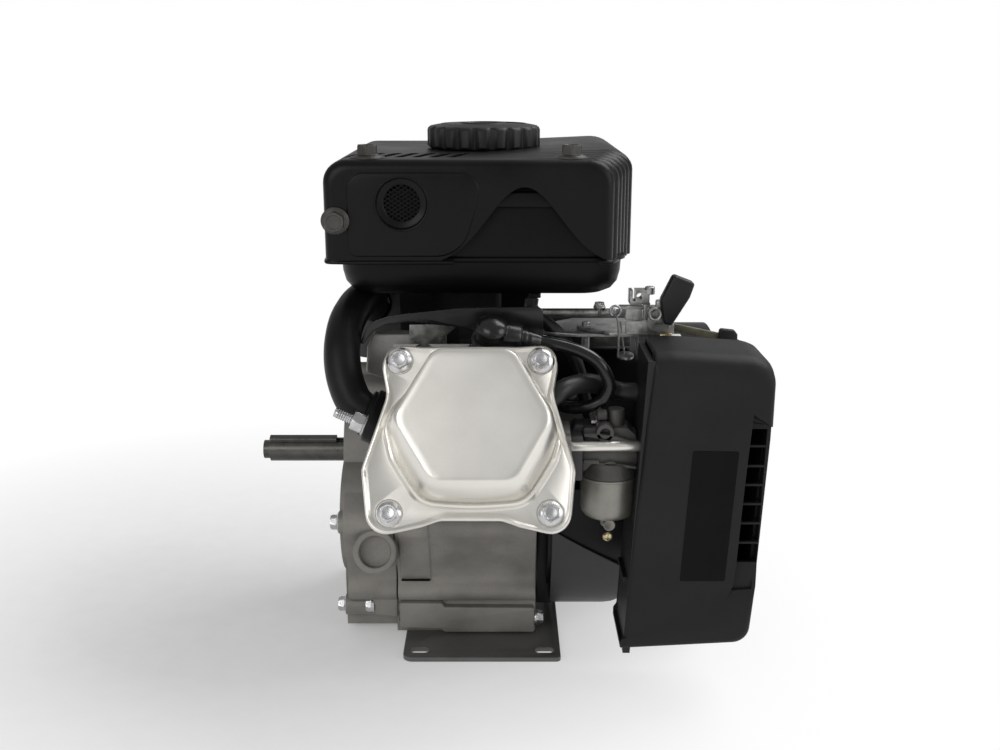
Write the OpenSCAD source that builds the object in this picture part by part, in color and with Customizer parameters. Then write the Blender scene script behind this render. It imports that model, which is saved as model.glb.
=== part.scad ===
// Small single-cylinder gasoline engine, horizontal shaft, inclined overhead-valve cylinder.
// X runs along the crankshaft, the drive end at -X. Z is up. The origin is the centre of the
// mounting slots, on the underside of the mounting plate.

/* [Crank and cylinder] */
// Height of the crankshaft centre above the mounting face
crank_z = 105; // [100:1:115]
// Crankshaft centre behind the middle of the mounting slots
crank_y = 19; // [15:1:24]
// Rise of the cylinder above the horizontal, in degrees
tilt = 25; // [20:1:30]
// Cylinder bore diameter
bore_d = 54; // [50:1:56]
// Piston stroke
stroke = 38; // [34:1:38]
// Connecting rod length between centres
rod_length = 78; // [76:1:84]
// Centre plane of the cylinder along the crankshaft
bore_x = -4.5; // [-6:0.5:-3]

/* [Drive shaft] */
// Diameter of the drive shaft
pto_d = 15.875; // [14:0.125:19.05]
// Length of the drive shaft in front of its shoulder
pto_length = 61.7; // [45:0.1:70]
// Width and height of the square shaft key
key_size = 4.76; // [4:0.01:5]
// Length of the shaft key
key_length = 45; // [30:1:45]

/* [Crankcase] */
// Distance from the cover joint to the cylinder's centre plane
case_left = 50.5; // [50:0.5:56]
// Distance from the cylinder's centre plane to the flywheel-side wall
case_right = 38.5; // [38:0.5:44]
// Depth of the side cover
cover_depth = 33; // [31:1:38]
// Radius of the crank chamber's outside
case_r = 52; // [51:1:58]
// Wall thickness of the castings
case_wall = 5; // [4:0.5:6]

/* [Mounting plate] */
// Width of the plate along the shaft
plate_w = 98; // [92:1:110]
// Depth of the plate across the shaft
plate_d = 161.6; // [156:0.1:172]
// Thickness of the plate
plate_t = 3; // [2:0.5:5]
// Slot spacing along the shaft
slot_x = 78; // [70:1:80]
// Slot spacing across the shaft
slot_y = 142; // [138:1:146]
// Overall slot length
slot_length = 12.5; // [10:0.5:14]
// Slot width
slot_w = 9; // [8:0.5:9]

/* [Flywheel and blower] */
// Flywheel radius
flywheel_r = 72; // [66:1:74]
// Blower housing radius
blower_r = 95; // [92:1:98]
// Length of the blower housing along the shaft
blower_l = 55.5; // [54:0.5:60]
// Recoil housing radius
recoil_r = 86; // [78:1:88]
// Length of the recoil housing along the shaft
recoil_l = 54; // [50:1:58]

/* [Tank] */
// Width of the tank cover along the shaft
tank_w = 170; // [160:1:180]
// Depth of the tank cover across the shaft
tank_d = 184; // [176:1:190]
// Height of the tank's underside above the mounting face
tank_z = 230; // [228:1:240]
// Height of the tank, underside to top
tank_h = 76; // [70:1:84]
// Diameter of the filler cap
cap_d = 71; // [64:1:74]

/* [Air cleaner] */
// Width of the air cleaner along the shaft
cleaner_w = 68; // [60:1:72]
// Height of the air cleaner
cleaner_h = 175; // [150:1:180]
// Depth of the air cleaner across the shaft
cleaner_d = 44; // [40:1:45]
// Sideways lean of the air cleaner over its height
cleaner_lean = 9; // [0:1:10]

/* [Hidden] */
$fn = 64;
e = 0.5;                    // overshoot of a cut past a face
loose = 0.3;                // gap between pieces that move past each other
fit = 0.04;                 // radial clearance of a running fit
gasket_t = 0.5;
head_gasket_t = 1.2;

crank_r = stroke / 2;
piston_r = bore_d / 2 - fit;
liner_r = bore_d / 2 + 2.5;
eye_r = 6.8;                // outside of the rod's small end
big_end_r = 13.5;
pin_r = 10;                 // crankpin
journal_r = 12.5;           // main journals
web_t = 10;
pin_l = 17;
web_r = 34;                 // counterweight
crown_t = 6.5;
crown_u = rod_length + bore_d / 2 + loose;      // underside of the crown at top dead centre
deck_u = crown_u + crown_t + 1;                 // top face of the cylinder
piston_pin_u = rod_length + crank_r;

gear_module = 1.6;
crank_teeth = 20;
cam_teeth = 40;
gear_centres = gear_module * (crank_teeth + cam_teeth) / 2;
pushrod_w = -42;            // pushrods and camshaft lie this far below the bore's axis
cam_u = sqrt(pow(gear_centres, 2) - pow(pushrod_w, 2));
cam_base_r = 9;
cam_lift = 4;
valve_x = 12.5;
valve_w = 4;
rocker_w = (pushrod_w + valve_w) / 2;
valve_lift = 4;

head_u = deck_u + head_gasket_t;                // underside of the head
box_u = head_u + 36;                            // floor of the rocker box
cover_u = box_u + 21.8;                         // rocker cover joint
rocker_u = cover_u + 5.5;                       // rocker shaft
stem_top_u = cover_u + 4.5;

// places along the shaft
split_x = bore_x - case_left;
cover_x = split_x - cover_depth;
case_x = bore_x + case_right;
boss_x = case_x + 6.5;                          // flywheel-side seal boss, carries the blower
shoulder_x = cover_x + 1.6;
shaft_end_x = shoulder_x - pto_length;
gear_x = split_x + 3;
gear_w = 10;
bearing_r = 26;
bearing_w = 15;
left_bearing_x = split_x - 2 - bearing_w;
right_bearing_x = bore_x + pin_l / 2 + web_t + 2;
seal_r = 17.5;
seal_w = 7;
hub_x = boss_x + 3.5;                           // flywheel
blower_x = boss_x;
blower_end = blower_x + blower_l;
recoil_end = blower_end + recoil_l;

cam_y = wy(cam_u, pushrod_w);
cam_z = wz(cam_u, pushrod_w);
cam_tip_r = gear_module * (cam_teeth / 2 + 1);
cam_case_r = cam_tip_r + case_wall + 0.9;

sump_front = -40;
sump_back = 58;
foot_front = -45;
foot_top = 25;

// ports
port_u = head_u + 19.1;
stud_c = 16;                                    // intake studs from the port's centre
intake_w = -15;
exhaust_w = 0;
head_half = 44;
intake_y = wy(port_u, intake_w);
intake_z = wz(port_u, intake_w);
exhaust_y = wy(port_u, exhaust_w);
exhaust_z = wz(port_u, exhaust_w);
intake_face = bore_x + 54.5;
flange_x = -head_half - 1;                       // exhaust flange, from the bore's centre plane
exhaust_face = bore_x + flange_x;
insulator_t = 7;
carb_x = intake_face + insulator_t;             // inlet flange
carb_l = 30;
cleaner_x = carb_x + carb_l;                    // air cleaner's face against the carburettor
bowl_x = carb_x + 13.6;
bowl_r = 13.5;
bowl_h = 22;
bowl_top = intake_z - 14;

cleaner_z = 33;
cleaner_y = intake_y - 22;                      // front face
// face of the air cleaner at a height, on its lean
function cleaner_face(z) = cleaner_x - cleaner_lean * (intake_z - z) / cleaner_h;
cleaner_plate = 4;
cleaner_wall = 2.5;

tank_front = -80;
tank_mid_y = 20;
tank_mid_x = 1;
tank_top = tank_z + tank_h;
tank_wall = 2;
cover_gap = 3;
neck_r = 29;
cap_h = 15.5;
pad_z = crank_z + case_r + 3;                   // flat pads that carry the tank bracket

// position across and above the crankshaft of a point u along the bore and w above its axis
// height at which a head bolt's head sits: the upper two are sunk between the fins
function seat_u(p) = p[1] > 0 ? box_u - 12 : box_u;
function wy(u, w) = crank_y - u * cos(tilt) + w * sin(tilt);
function wz(u, w) = crank_z + u * sin(tilt) + w * cos(tilt);

// cover bolts, spread on the crankcase outline
case_bolts_yz = [
    for (a = [15, 65, 115]) [crank_y + (case_r + 1) * cos(a), crank_z + (case_r + 1) * sin(a)],
    [cam_y - cam_case_r * cos(10), cam_z + cam_case_r * sin(10)],
    [sump_front + 1, plate_t + 16],
    [sump_back - 1, plate_t + 16],
];
// rocker cover bolts, x from the bore's centre plane and w, with the wide pair below
cover_bolts_xw = [[-37.7, 28], [37.7, 28], [-42.2, -53], [42.2, -53]];
head_bolts_xw = [[-31, -30], [31, -30], [-27, 37.5], [27, 37.5]];

lead_points = [
    [29.8, -104.6, 209.6], [34, -104, 209], [40, -104, 208], [48, -104, 206], [57, -105, 203], [65, -106, 198],
    [70, -107, 191], [72, -107, 184], [69, -107, 177], [63, -106, 173], [56, -104, 171], [50, -100, 170],
    [46, -93, 169], [45, -84, 167], [46, -72, 164], [50, -62, 162], [56, -53, 162], [60, -45, 165],
    [60, -38, 169], [60, -33.5, 171.6],
];
breather_points = [
    [36.4, -119.2, 181], [41, -119, 182], [46, -116, 185], [53, -110, 186], [60, -103, 185], [68, -97, 182],
    [77, -94, 178], [84, -94, 177], [94, -94, 177],
];
fuel_points = [
    [30, -60, 224.4], [30, -60, 218.5], [36, -61, 212], [45, -64, 205], [53, -66, 194], [58, -67, 182],
    [61, -68, 168], [65, -72, 154], [69, -78, 143], [70.5, -83, 138.4], [70.5, -89.4, 137.7],
];
exhaust_points = [
    [exhaust_face - 5, exhaust_y, exhaust_z], [-66, exhaust_y, exhaust_z + 1], [-75, exhaust_y + 2, exhaust_z + 3],
    [-82, exhaust_y + 8, exhaust_z + 8], [-85, exhaust_y + 18, exhaust_z + 15], [-85, -72, 186], [-84, -58, 194],
    [-82, -42, 200], [-80, -26, 204], [-77, -10, 205], [-74, 6, 205], [-72, 18, 205], [-72, 24, 205],
];
pipe_r = 12;

// ---- placing ----

// local z along the shaft, on the crankshaft centre
module along_x(x) translate([x, crank_y, crank_z]) rotate([0, 90, 0]) children();

// a flat outline drawn in (Y, Z), thickened along the shaft
module slab_x(x, t) translate([x, 0, 0]) rotate([90, 0, 90]) linear_extrude(t) children();

// local z along the bore, y across it and upwards, x along the shaft from the bore's centre plane
module in_bore() translate([bore_x, crank_y, crank_z]) rotate([90 - tilt, 0, 0]) children();

// a flat outline drawn in (w, u), thickened along the shaft
module bore_slab(x, t) in_bore() translate([x, 0, 0]) rotate([90, 0, 90]) linear_extrude(t) children();

module bore_post(x, w, u, r, h) in_bore() translate([x, w, u]) cylinder(r = r, h = h);

module ring(r_out, r_in, h) difference() {
    cylinder(r = r_out, h = h);
    translate([0, 0, -e]) cylinder(r = r_in, h = h + 2 * e);
}

module ring_x(x, r_out, r_in, t) along_x(x) ring(r_out, r_in, t);

module disc_x(x, r, t) along_x(x) cylinder(r = r, h = t);

module round_rect(w, d, r) {
    translate([-w / 2 + r, -d / 2]) square([w - 2 * r, d]);
    translate([-w / 2, -d / 2 + r]) square([w, d - 2 * r]);
    for (x = [-1, 1], y = [-1, 1]) translate([x * (w / 2 - r), y * (d / 2 - r)]) circle(r = r);
}

// flanged hexagon screw, head up at z = 0, shank down
module screw(r, length, head_r = 0) {
    wide = head_r > 0 ? head_r : 2 * r;
    translate([0, 0, -length]) cylinder(r = r, h = length);
    cylinder(r = wide, h = 1.2);
    translate([0, 0, 1.2]) cylinder(r = 0.88 * wide, h = 4, $fn = 6);
}

// ---- swept tube ----

function unit(v) = v / norm(v);
function direction(p, i) = unit(p[min(i + 1, len(p) - 1)] - p[max(i - 1, 0)]);
function side_vector(d) = unit(cross(d, abs(d[2]) < 0.9 ? [0, 0, 1] : [1, 0, 0]));
// the first side vector is carried along the path, so the tube doesn't twist
function carried(p, i, s) = i == 0 ? side_vector(direction(p, 0)) : let (
    before = carried(p, i - 1, s), d = direction(p, i)) unit(before - d * (before * d));
// points on a smooth curve through the given ones
function smooth(p, steps) = [
    for (i = [0 : len(p) - 2], s = [0 : steps - 1]) let (
        t = s / steps, a = p[max(i - 1, 0)], b = p[i], c = p[i + 1], d = p[min(i + 2, len(p) - 1)])
        0.5 * (2 * b + (c - a) * t + (2 * a - 5 * b + 4 * c - d) * t * t + (3 * b - a - 3 * c + d) * t * t * t),
    p[len(p) - 1]
];

module tube(points, r, sides = 10) {
    n = len(points);
    rings = [for (i = [0 : n - 1]) let (d = direction(points, i), a = carried(points, i, 0), b = cross(d, a))
        for (k = [0 : sides - 1]) points[i] + r * (cos(360 * k / sides) * a + sin(360 * k / sides) * b)];
    walls = [for (i = [0 : n - 2], k = [0 : sides - 1]) let (m = (k + 1) % sides)
        [i * sides + k, (i + 1) * sides + k, (i + 1) * sides + m, i * sides + m]];
    caps = [[for (k = [0 : sides - 1]) k], [for (k = [sides - 1 : -1 : 0]) (n - 1) * sides + k]];
    polyhedron(rings, concat(walls, caps), convexity = 6);
}

// ---- gears ----

module gear(teeth, turn) {
    pitch_r = gear_module * teeth / 2;
    step = 360 / teeth;
    polygon([for (i = [0 : teeth - 1], c = [[-2, -0.31], [1, -0.11], [1, 0.11], [-2, 0.31]])
        let (r = pitch_r + gear_module * (c[0] < 0 ? -1.25 : c[0]), a = turn + step * (i + c[1]))
        [r * cos(a), r * sin(a)]]);
}

// ---- castings ----

module case_outline(grow) {
    translate([crank_y, crank_z]) circle(r = case_r + grow);
    translate([cam_y, cam_z]) circle(r = cam_case_r + grow);
    translate([sump_front - grow, plate_t - grow])
        square([sump_back - sump_front + 2 * grow, crank_z - plate_t + grow]);
}

module bolt_ears() for (p = case_bolts_yz) translate(p) circle(r = 7);

module case_holes(x, t) for (p = case_bolts_yz) translate([x, p[0], p[1]]) rotate([0, 90, 0])
    cylinder(r = 3.1, h = t);

module cylinder_barrel() {
    fin_low = -52;
    fin_high = 44;
    in_bore() {
        translate([-39, fin_low + 4, case_r - 14]) cube([78, fin_high - fin_low - 7, deck_u - case_r + 14]);
        for (u = [case_r + 7 : 7 : deck_u - 8]) translate([-head_half, fin_low, u])
            cube([2 * head_half, fin_high - fin_low, 2.2]);
        translate([-head_half, fin_low, deck_u - 5]) cube([2 * head_half, fin_high - fin_low, 5]);
    }
}

module filler_boss(r_out, r_in, depth) difference() {
    translate([0, 0, -10]) cylinder(r = r_out, h = 14);
    translate([0, 0, 4 - depth]) cylinder(r = r_in, h = depth + e);
}

dip_x = split_x + 25;
dip_y = sump_back + 1;
dip_z = plate_t + 52;
module at_dipstick() translate([dip_x, dip_y, dip_z]) rotate([-(90 - tilt), 0, 0]) children();

module crankcase() color("dimgray") difference() {
    union() {
        difference() {
            union() {
                slab_x(split_x, case_x - split_x) { case_outline(0); bolt_ears(); }
                translate([split_x, foot_front, plate_t])
                    cube([case_x - split_x, sump_front - foot_front + 8, foot_top - plate_t]);
                cylinder_barrel();
                for (x = [split_x + 2, case_x - 22]) translate([x, crank_y - 15, crank_z + case_r - 8])
                    cube([20, 26, pad_z - crank_z - case_r + 8]);
                at_dipstick() translate([0, 0, -14]) cylinder(r = 14, h = 18);
            }
            slab_x(split_x - e, case_x - split_x - case_wall + e) case_outline(-case_wall);
        }
        intersection() {
            for (x = [-valve_x, valve_x]) bore_post(x, pushrod_w, cam_u + cam_base_r + cam_lift + 7.5, 8, 28.5);
            slab_x(split_x, case_x - split_x) case_outline(-1);
        }
        ring_x(right_bearing_x - 0.5, bearing_r + 5, bearing_r - 2, boss_x - right_bearing_x + 0.5);
        disc_x(right_bearing_x + bearing_w, bearing_r + 5, boss_x - right_bearing_x - bearing_w);
        translate([case_x - 14, cam_y, cam_z]) rotate([0, 90, 0]) cylinder(r = 11, h = 12);
    }
    // bearing seat, seal seat and shaft passage
    disc_x(right_bearing_x - 2, bearing_r, bearing_w + 2);
    disc_x(right_bearing_x, seal_r, boss_x - right_bearing_x + e);
    // camshaft journal
    translate([case_x - 14 - e, cam_y, cam_z]) rotate([0, 90, 0]) cylinder(r = 7 + fit, h = 9 + e);
    // cylinder, pushrod tunnels, tappet guides and head bolts
    bore_post(0, 0, case_r - 16, liner_r, deck_u - case_r + 16 + e);
    for (x = [-valve_x, valve_x]) {
        bore_post(x, pushrod_w, cam_u, 5 + fit, deck_u - cam_u + e);
        bore_post(x, pushrod_w, case_r + 20, 6, deck_u - case_r - 20 + e);
    }
    for (p = head_bolts_xw) bore_post(p[0], p[1], deck_u - 30, 3, 30 + e);
    case_holes(split_x - e, 22);
    for (x = [split_x + 12, case_x - 12]) translate([x, crank_y - 2, pad_z - 9]) cylinder(r = 3, h = 9 + e);
    // oil filler
    at_dipstick() translate([0, 0, -30]) cylinder(r = 9 + loose, h = 34 + e);
    // two drain holes in the foot
    for (x = [split_x + 4, case_x - 4]) translate([x, foot_front - e, plate_t + 8]) rotate([-90, 0, 0])
        cylinder(r = 2.5, h = 4 + e);
}

pto_bolt_pcd = 65;
pto_bolt_r = 3.4;
blind_y = -40;
blind_z = 58;

module side_cover() color("dimgray") difference() {
    union() {
        difference() {
            slab_x(cover_x, cover_depth - gasket_t) { case_outline(-1.5); bolt_ears(); }
            slab_x(cover_x + case_wall, cover_depth) case_outline(-case_wall);
        }
        ring_x(cover_x + 2, bearing_r + 5, 15, left_bearing_x + bearing_w + 0.5 - cover_x - 2);
        ring_x(cover_x, pto_bolt_pcd / 2 + 7, 15, 13);
        translate([cover_x + 2, cam_y, cam_z]) rotate([0, 90, 0]) cylinder(r = 11, h = gear_x - 3 - cover_x);
        // blind filler boss
        difference() {
            translate([split_x - 13, blind_y, blind_z]) rotate([90 - tilt, 0, 0]) filler_boss(14, 10, 6);
            slab_x(cover_x + case_wall, cover_depth) case_outline(-case_wall);
        }
    }
    disc_x(left_bearing_x, bearing_r, bearing_w + 2);
    disc_x(cover_x - e, seal_r, seal_w + e);
    disc_x(cover_x, 15, cover_depth);
    translate([gear_x - 14, cam_y, cam_z]) rotate([0, 90, 0]) cylinder(r = 7 + fit, h = 14);
    case_holes(cover_x - e, cover_depth + 2 * e);
    for (a = [45 : 90 : 315]) along_x(cover_x - e) rotate([0, 0, a]) translate([pto_bolt_pcd / 2, 0, 0])
        cylinder(r = pto_bolt_r, h = 12 + e);
}

module gaskets() {
    color("tan") slab_x(split_x - gasket_t, gasket_t) difference() {
        union() { case_outline(-1.5); bolt_ears(); }
        case_outline(-case_wall);
        for (p = case_bolts_yz) translate(p) circle(r = 3.1);
    }
    color("gray") in_bore() translate([0, 0, deck_u]) linear_extrude(head_gasket_t) difference() {
        translate([-head_half + 1, -51]) square([2 * head_half - 2, 94]);
        circle(r = bore_d / 2 + 0.5);
        for (p = head_bolts_xw) translate(p) circle(r = 3.1);
        for (x = [-valve_x, valve_x]) translate([x, pushrod_w]) circle(r = 6);
    }
    color("tan") in_bore() translate([0, 0, cover_u]) linear_extrude(gasket_t) difference() {
        rocker_outline(0);
        rocker_outline(-5);
        for (p = cover_bolts_xw) translate(p) circle(r = 3.2);
    }
    color("tan") translate([exhaust_face - 1, exhaust_y, exhaust_z]) rotate([0, 90, 0]) ring(15, 10.5, 1);
}

module slot() {
    straight = slot_length - slot_w;
    square([straight, slot_w], center = true);
    for (s = [-1, 1]) translate([s * straight / 2, 0]) circle(d = slot_w);
}

module mounting_plate() color([0.2, 0.2, 0.21]) linear_extrude(plate_t) difference() {
    round_rect(plate_w, plate_d, 6);
    for (x = [-1, 1], y = [-1, 1]) translate([x * slot_x / 2, y * slot_y / 2]) slot();
}

module case_bolts() color("silver") {
    for (p = case_bolts_yz) translate([cover_x, p[0], p[1]]) rotate([0, -90, 0]) screw(3, cover_depth + 18, 6.5);
    for (x = [split_x + 4, case_x - 4]) translate([x, foot_front, plate_t + 8]) rotate([90, 0, 0])
        screw(2.4, 3.5, 5);
}

module oil_seals() color("black") {
    ring_x(cover_x, seal_r, journal_r + fit, seal_w);
    ring_x(boss_x - seal_w, seal_r, journal_r + fit, seal_w);
}

module bearing(x) {
    ring_x(x, bearing_r, 21, bearing_w);
    ring_x(x, 17.5, journal_r + fit, bearing_w);
    ring_x(x + 5, 21, 17.5, 5);
}

module main_bearings() color("lightsteelblue") {
    bearing(left_bearing_x);
    bearing(right_bearing_x);
}

module cylinder_liner() color("gray") in_bore() translate([0, 0, case_r]) ring(liner_r, bore_d / 2, deck_u - case_r);

// ---- cylinder head ----

// outline of the rocker box: a rectangle with a lobe at each cover bolt
module rocker_outline(grow) {
    translate([-36 - grow, -50 - grow]) square([72 + 2 * grow, 76 + 2 * grow]);
    translate([-39 - grow, -44 - grow]) square([78 + 2 * grow, 60 + 2 * grow]);
    if (grow > -1) for (p = cover_bolts_xw) translate(p) circle(r = 8.5 + grow);
}

module rocker_room() {
    translate([-34, -48]) square([68, 70]);
}

plug_angle = 33;
plug_lean = 11;
module at_plug() in_bore() translate([2, 20, head_u + 7])
    rotate([-plug_angle, 0, 0]) rotate([0, plug_lean, 0]) children();

module cylinder_head() color("gray") difference() {
    union() {
        in_bore() {
            translate([-36, -48, head_u]) cube([72, 84, box_u - head_u]);
            for (u = [head_u + 8 : 7 : box_u - 6]) translate([-head_half, -51, u]) cube([2 * head_half, 94, 2.2]);
            translate([-head_half, -51, head_u]) cube([2 * head_half, 94, 4]);
            translate([0, 0, box_u - 5]) linear_extrude(cover_u - box_u + 5) rocker_outline(0);
            for (p = head_bolts_xw) if (p[1] > 0) translate([p[0], p[1], head_u]) cylinder(r = 5.6, h = seat_u(p) - head_u);
        }
        // intake and exhaust flanges
        translate([bore_x, intake_y, intake_z]) rotate([0, 90, 0]) cylinder(r = 16, h = intake_face - bore_x);
        translate([bore_x + 30, intake_y, intake_z]) rotate([0, 90, 0]) for (s = [-1, 1])
            translate([s * stud_c * sin(tilt), s * stud_c * cos(tilt), 0]) cylinder(r = 7, h = intake_face - bore_x - 30);
        translate([exhaust_face, exhaust_y, exhaust_z]) rotate([0, 90, 0]) cylinder(r = 16, h = head_half);
        for (s = [-1, 1]) in_bore() translate([flange_x, exhaust_w + s * 20, port_u]) rotate([0, 90, 0])
            cylinder(r = 7, h = 13);
        at_plug() cylinder(r = 14, h = 26);
    }
    // rocker room, shaft stands are left standing
    in_bore() difference() {
        translate([0, 0, box_u]) linear_extrude(cover_u - box_u + e) rocker_room();
        for (x = [-27, 0, 27]) translate([x - 3, rocker_w - 5, box_u - e]) cube([6, 10, cover_u - box_u + 2]);
    }
    // combustion chamber, ports, guides, pushrods and bolts
    bore_post(0, 0, head_u - e, 25.5, 9 + e);
    for (s = [-1, 1]) {
        bore_post(s * valve_x, valve_w, head_u + 5, 8.5, port_u - head_u - 1);
        bore_post(s * valve_x, valve_w, head_u, 2.75 + fit, box_u - head_u + e);
        bore_post(s * valve_x, pushrod_w, head_u - e, 5, box_u - head_u + 2 * e);
    }
    translate([bore_x + valve_x, intake_y, intake_z]) rotate([0, 90, 0])
        cylinder(r = 8, h = intake_face - bore_x - valve_x + e);
    translate([exhaust_face - e, exhaust_y, exhaust_z]) rotate([0, 90, 0]) cylinder(r = 9, h = head_half - valve_x + e);
    for (p = head_bolts_xw) {
        bore_post(p[0], p[1], head_u - e, 3.2, box_u - head_u + 2 * e);
        bore_post(p[0], p[1], seat_u(p), 6, cover_u - seat_u(p) + e);
    }
    for (p = cover_bolts_xw) bore_post(p[0], p[1], cover_u - 14, 3, 14 + e);
    in_bore() translate([-60, -60, head_u - 40]) cube([60 + head_half + loose, 130, 40]);
    at_plug() translate([0, 0, -12]) cylinder(r = 7, h = 40);
    at_plug() translate([0, 0, 16]) cylinder(r = 11, h = 60);
    for (s = [-1, 1]) {
        translate([intake_face - 14, intake_y, intake_z]) rotate([0, 90, 0])
            translate([s * stud_c * sin(tilt), s * stud_c * cos(tilt), 0]) cylinder(r = 3, h = 14 + e);
        in_bore() translate([flange_x - e, exhaust_w + s * 20, port_u]) rotate([0, 90, 0]) cylinder(r = 3, h = 12);
    }
}

module head_bolts() color("dimgray") for (p = head_bolts_xw) in_bore() translate([p[0], p[1], seat_u(p)])
    screw(3, seat_u(p) - deck_u + 28, 5.5);

module rocker_cover() color([0.78, 0.76, 0.7]) in_bore() translate([0, 0, cover_u + gasket_t]) difference() {
    union() {
        linear_extrude(1.5) rocker_outline(0);
        translate([0, -13.5, 0]) linear_extrude(8) round_rect(74, 74, 14);
        translate([0, -13.5, 0]) linear_extrude(23) round_rect(66, 69, 16);
    }
    translate([0, -13.5, -e]) linear_extrude(6.5 + e) round_rect(71, 71, 12.5);
    translate([0, -13.5, -e]) linear_extrude(21.5 + e) round_rect(63, 66, 14.5);
    for (p = cover_bolts_xw) translate([p[0], p[1], -e]) cylinder(r = 3.2, h = 9);
    for (p = cover_bolts_xw) translate([p[0], p[1], 1.5]) cylinder(r = 7.2, h = 9);
}

module rocker_cover_bolts() color("gainsboro") for (p = cover_bolts_xw) in_bore()
    translate([p[0], p[1], cover_u + gasket_t + 1.5]) screw(2.9, 13, 6.2);

shaft_r = 4.5;
lash = 0.3;                      // clearance between pushrod and rocker
module rocker_shaft() color("silver") difference() {
    union() {
        in_bore() translate([-31, rocker_w, rocker_u]) rotate([0, 90, 0]) cylinder(r = shaft_r, h = 62);
        for (x = [-27, 0, 27]) in_bore() translate([x - 3, rocker_w - 5, cover_u])
            cube([6, 10, rocker_u - cover_u]);
    }
}

module valve_springs() color("silver") for (s = [-1, 1]) in_bore() translate([s * valve_x, valve_w, box_u])
    ring(9, 6.8, stem_top_u - 7 - box_u);

module valve(s, head_r) color("silver") in_bore() translate([s * valve_x, valve_w, 0]) {
    translate([0, 0, head_u + 6.7]) cylinder(r = head_r, h = 2);
    translate([0, 0, head_u + 6.7]) cylinder(r = 2.75, h = stem_top_u - head_u - 6.7);
    translate([0, 0, stem_top_u - 6.7]) cylinder(r = 8.5, h = 2.5);
}

module intake_valve() valve(1, 10.5);
module exhaust_valve() valve(-1, 9.5);

module rocker(s) color("darkgray") difference() {
    bore_slab(s * valve_x - 4, 8) difference() {
        union() {
            translate([rocker_w, rocker_u]) circle(r = 8);
            translate([pushrod_w - 3.5, stem_top_u + loose]) square([valve_w - pushrod_w + 4.5, 5.5]);
        }
        translate([rocker_w, rocker_u]) circle(r = shaft_r + fit);
    }
}

module intake_rocker() rocker(1);
module exhaust_rocker() rocker(-1);

module pushrod(s) color("silver") in_bore() translate([s * valve_x, pushrod_w, 0]) {
    foot_u = cam_u + cam_base_r + cam_lift + loose;
    translate([0, 0, foot_u]) cylinder(r = 7.5, h = 2.5);
    translate([0, 0, foot_u]) cylinder(r = 5, h = 26);
    translate([0, 0, foot_u]) cylinder(r = 2.4, h = stem_top_u - lash - foot_u);
}

module intake_pushrod() pushrod(1);
module exhaust_pushrod() pushrod(-1);

// ---- moving parts in the crankcase ----

module web() {
    translate([0, crank_r]) circle(r = 14);
    circle(r = 17);
    translate([-14, 0]) square([28, crank_r]);
    intersection() {
        circle(r = web_r);
        translate([-web_r, -web_r]) square([2 * web_r, web_r - 3]);
    }
}

module crankshaft() {
    pin_x = pin_l / 2;
    color("silver") difference() {
        union() {
            disc_x(shaft_end_x + tip_l, pto_d / 2, pto_length + 1 - tip_l);
            disc_x(shaft_end_x, tip_r, tip_l + 1);
            disc_x(shoulder_x, journal_r, bore_x - pin_x - web_t - shoulder_x + 1);
            bore_slab(-pin_x - web_t, web_t) web();
            bore_slab(-pin_x - 1, pin_l + 2) translate([0, crank_r]) circle(r = pin_r);
            bore_slab(pin_x, web_t) web();
            disc_x(bore_x + pin_x + web_t - 1, journal_r, hub_x - 1 - bore_x - pin_x - web_t + 1);
            along_x(hub_x - 1) cylinder(r1 = 11, r2 = 9, h = 31);
            disc_x(hub_x + 29, 7, 20);
        }
        // keyway in the drive end, and its threaded centre hole
        along_x(shaft_end_x + tip_l - e) rotate([0, 0, key_turn])
            translate([pto_d / 2 - 0.5 * key_size, -key_size / 2, 0]) cube([10, key_size, key_length + 8 + e]);
        disc_x(shaft_end_x - e, 3.4, 25 + e);
    }
    color("dimgray") difference() {
        slab_x(gear_x, gear_w) translate([crank_y, crank_z]) gear(crank_teeth, mesh_angle);
        disc_x(gear_x - e, journal_r, gear_w + 2 * e);
    }
}

key_turn = 200;
tip_r = 6.2;                    // stepped end of the drive shaft
tip_l = 4.5;
// direction from the crankshaft to the camshaft, in the (Y, Z) plane
mesh_angle = atan2(cam_z - crank_z, cam_y - crank_y);

module shaft_key() color("dimgray") along_x(shaft_end_x + tip_l) rotate([0, 0, key_turn])
    translate([pto_d / 2 - 0.5 * key_size, -key_size / 2, 0]) cube([key_size, key_size, key_length]);

module camshaft() color("dimgray") {
    left = gear_x - 12;
    translate([0, cam_y, cam_z]) {
        translate([left, 0, 0]) rotate([0, 90, 0]) cylinder(r = 7, h = case_x - 6 - left);
        slab_x(gear_x, gear_w) gear(cam_teeth, mesh_angle + 180 + 180 / cam_teeth);
        for (s = [-1, 1]) slab_x(bore_x + s * valve_x - 4, 8) {
            circle(r = cam_base_r);
            rotate(270 - s * 52) translate([0, cam_base_r + cam_lift - 5]) circle(r = 5);
            rotate(270 - s * 52) polygon([[-7.5, 4.9], [7.5, 4.9], [4.6, 10], [-4.6, 10]]);
        }
    }
}

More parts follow.
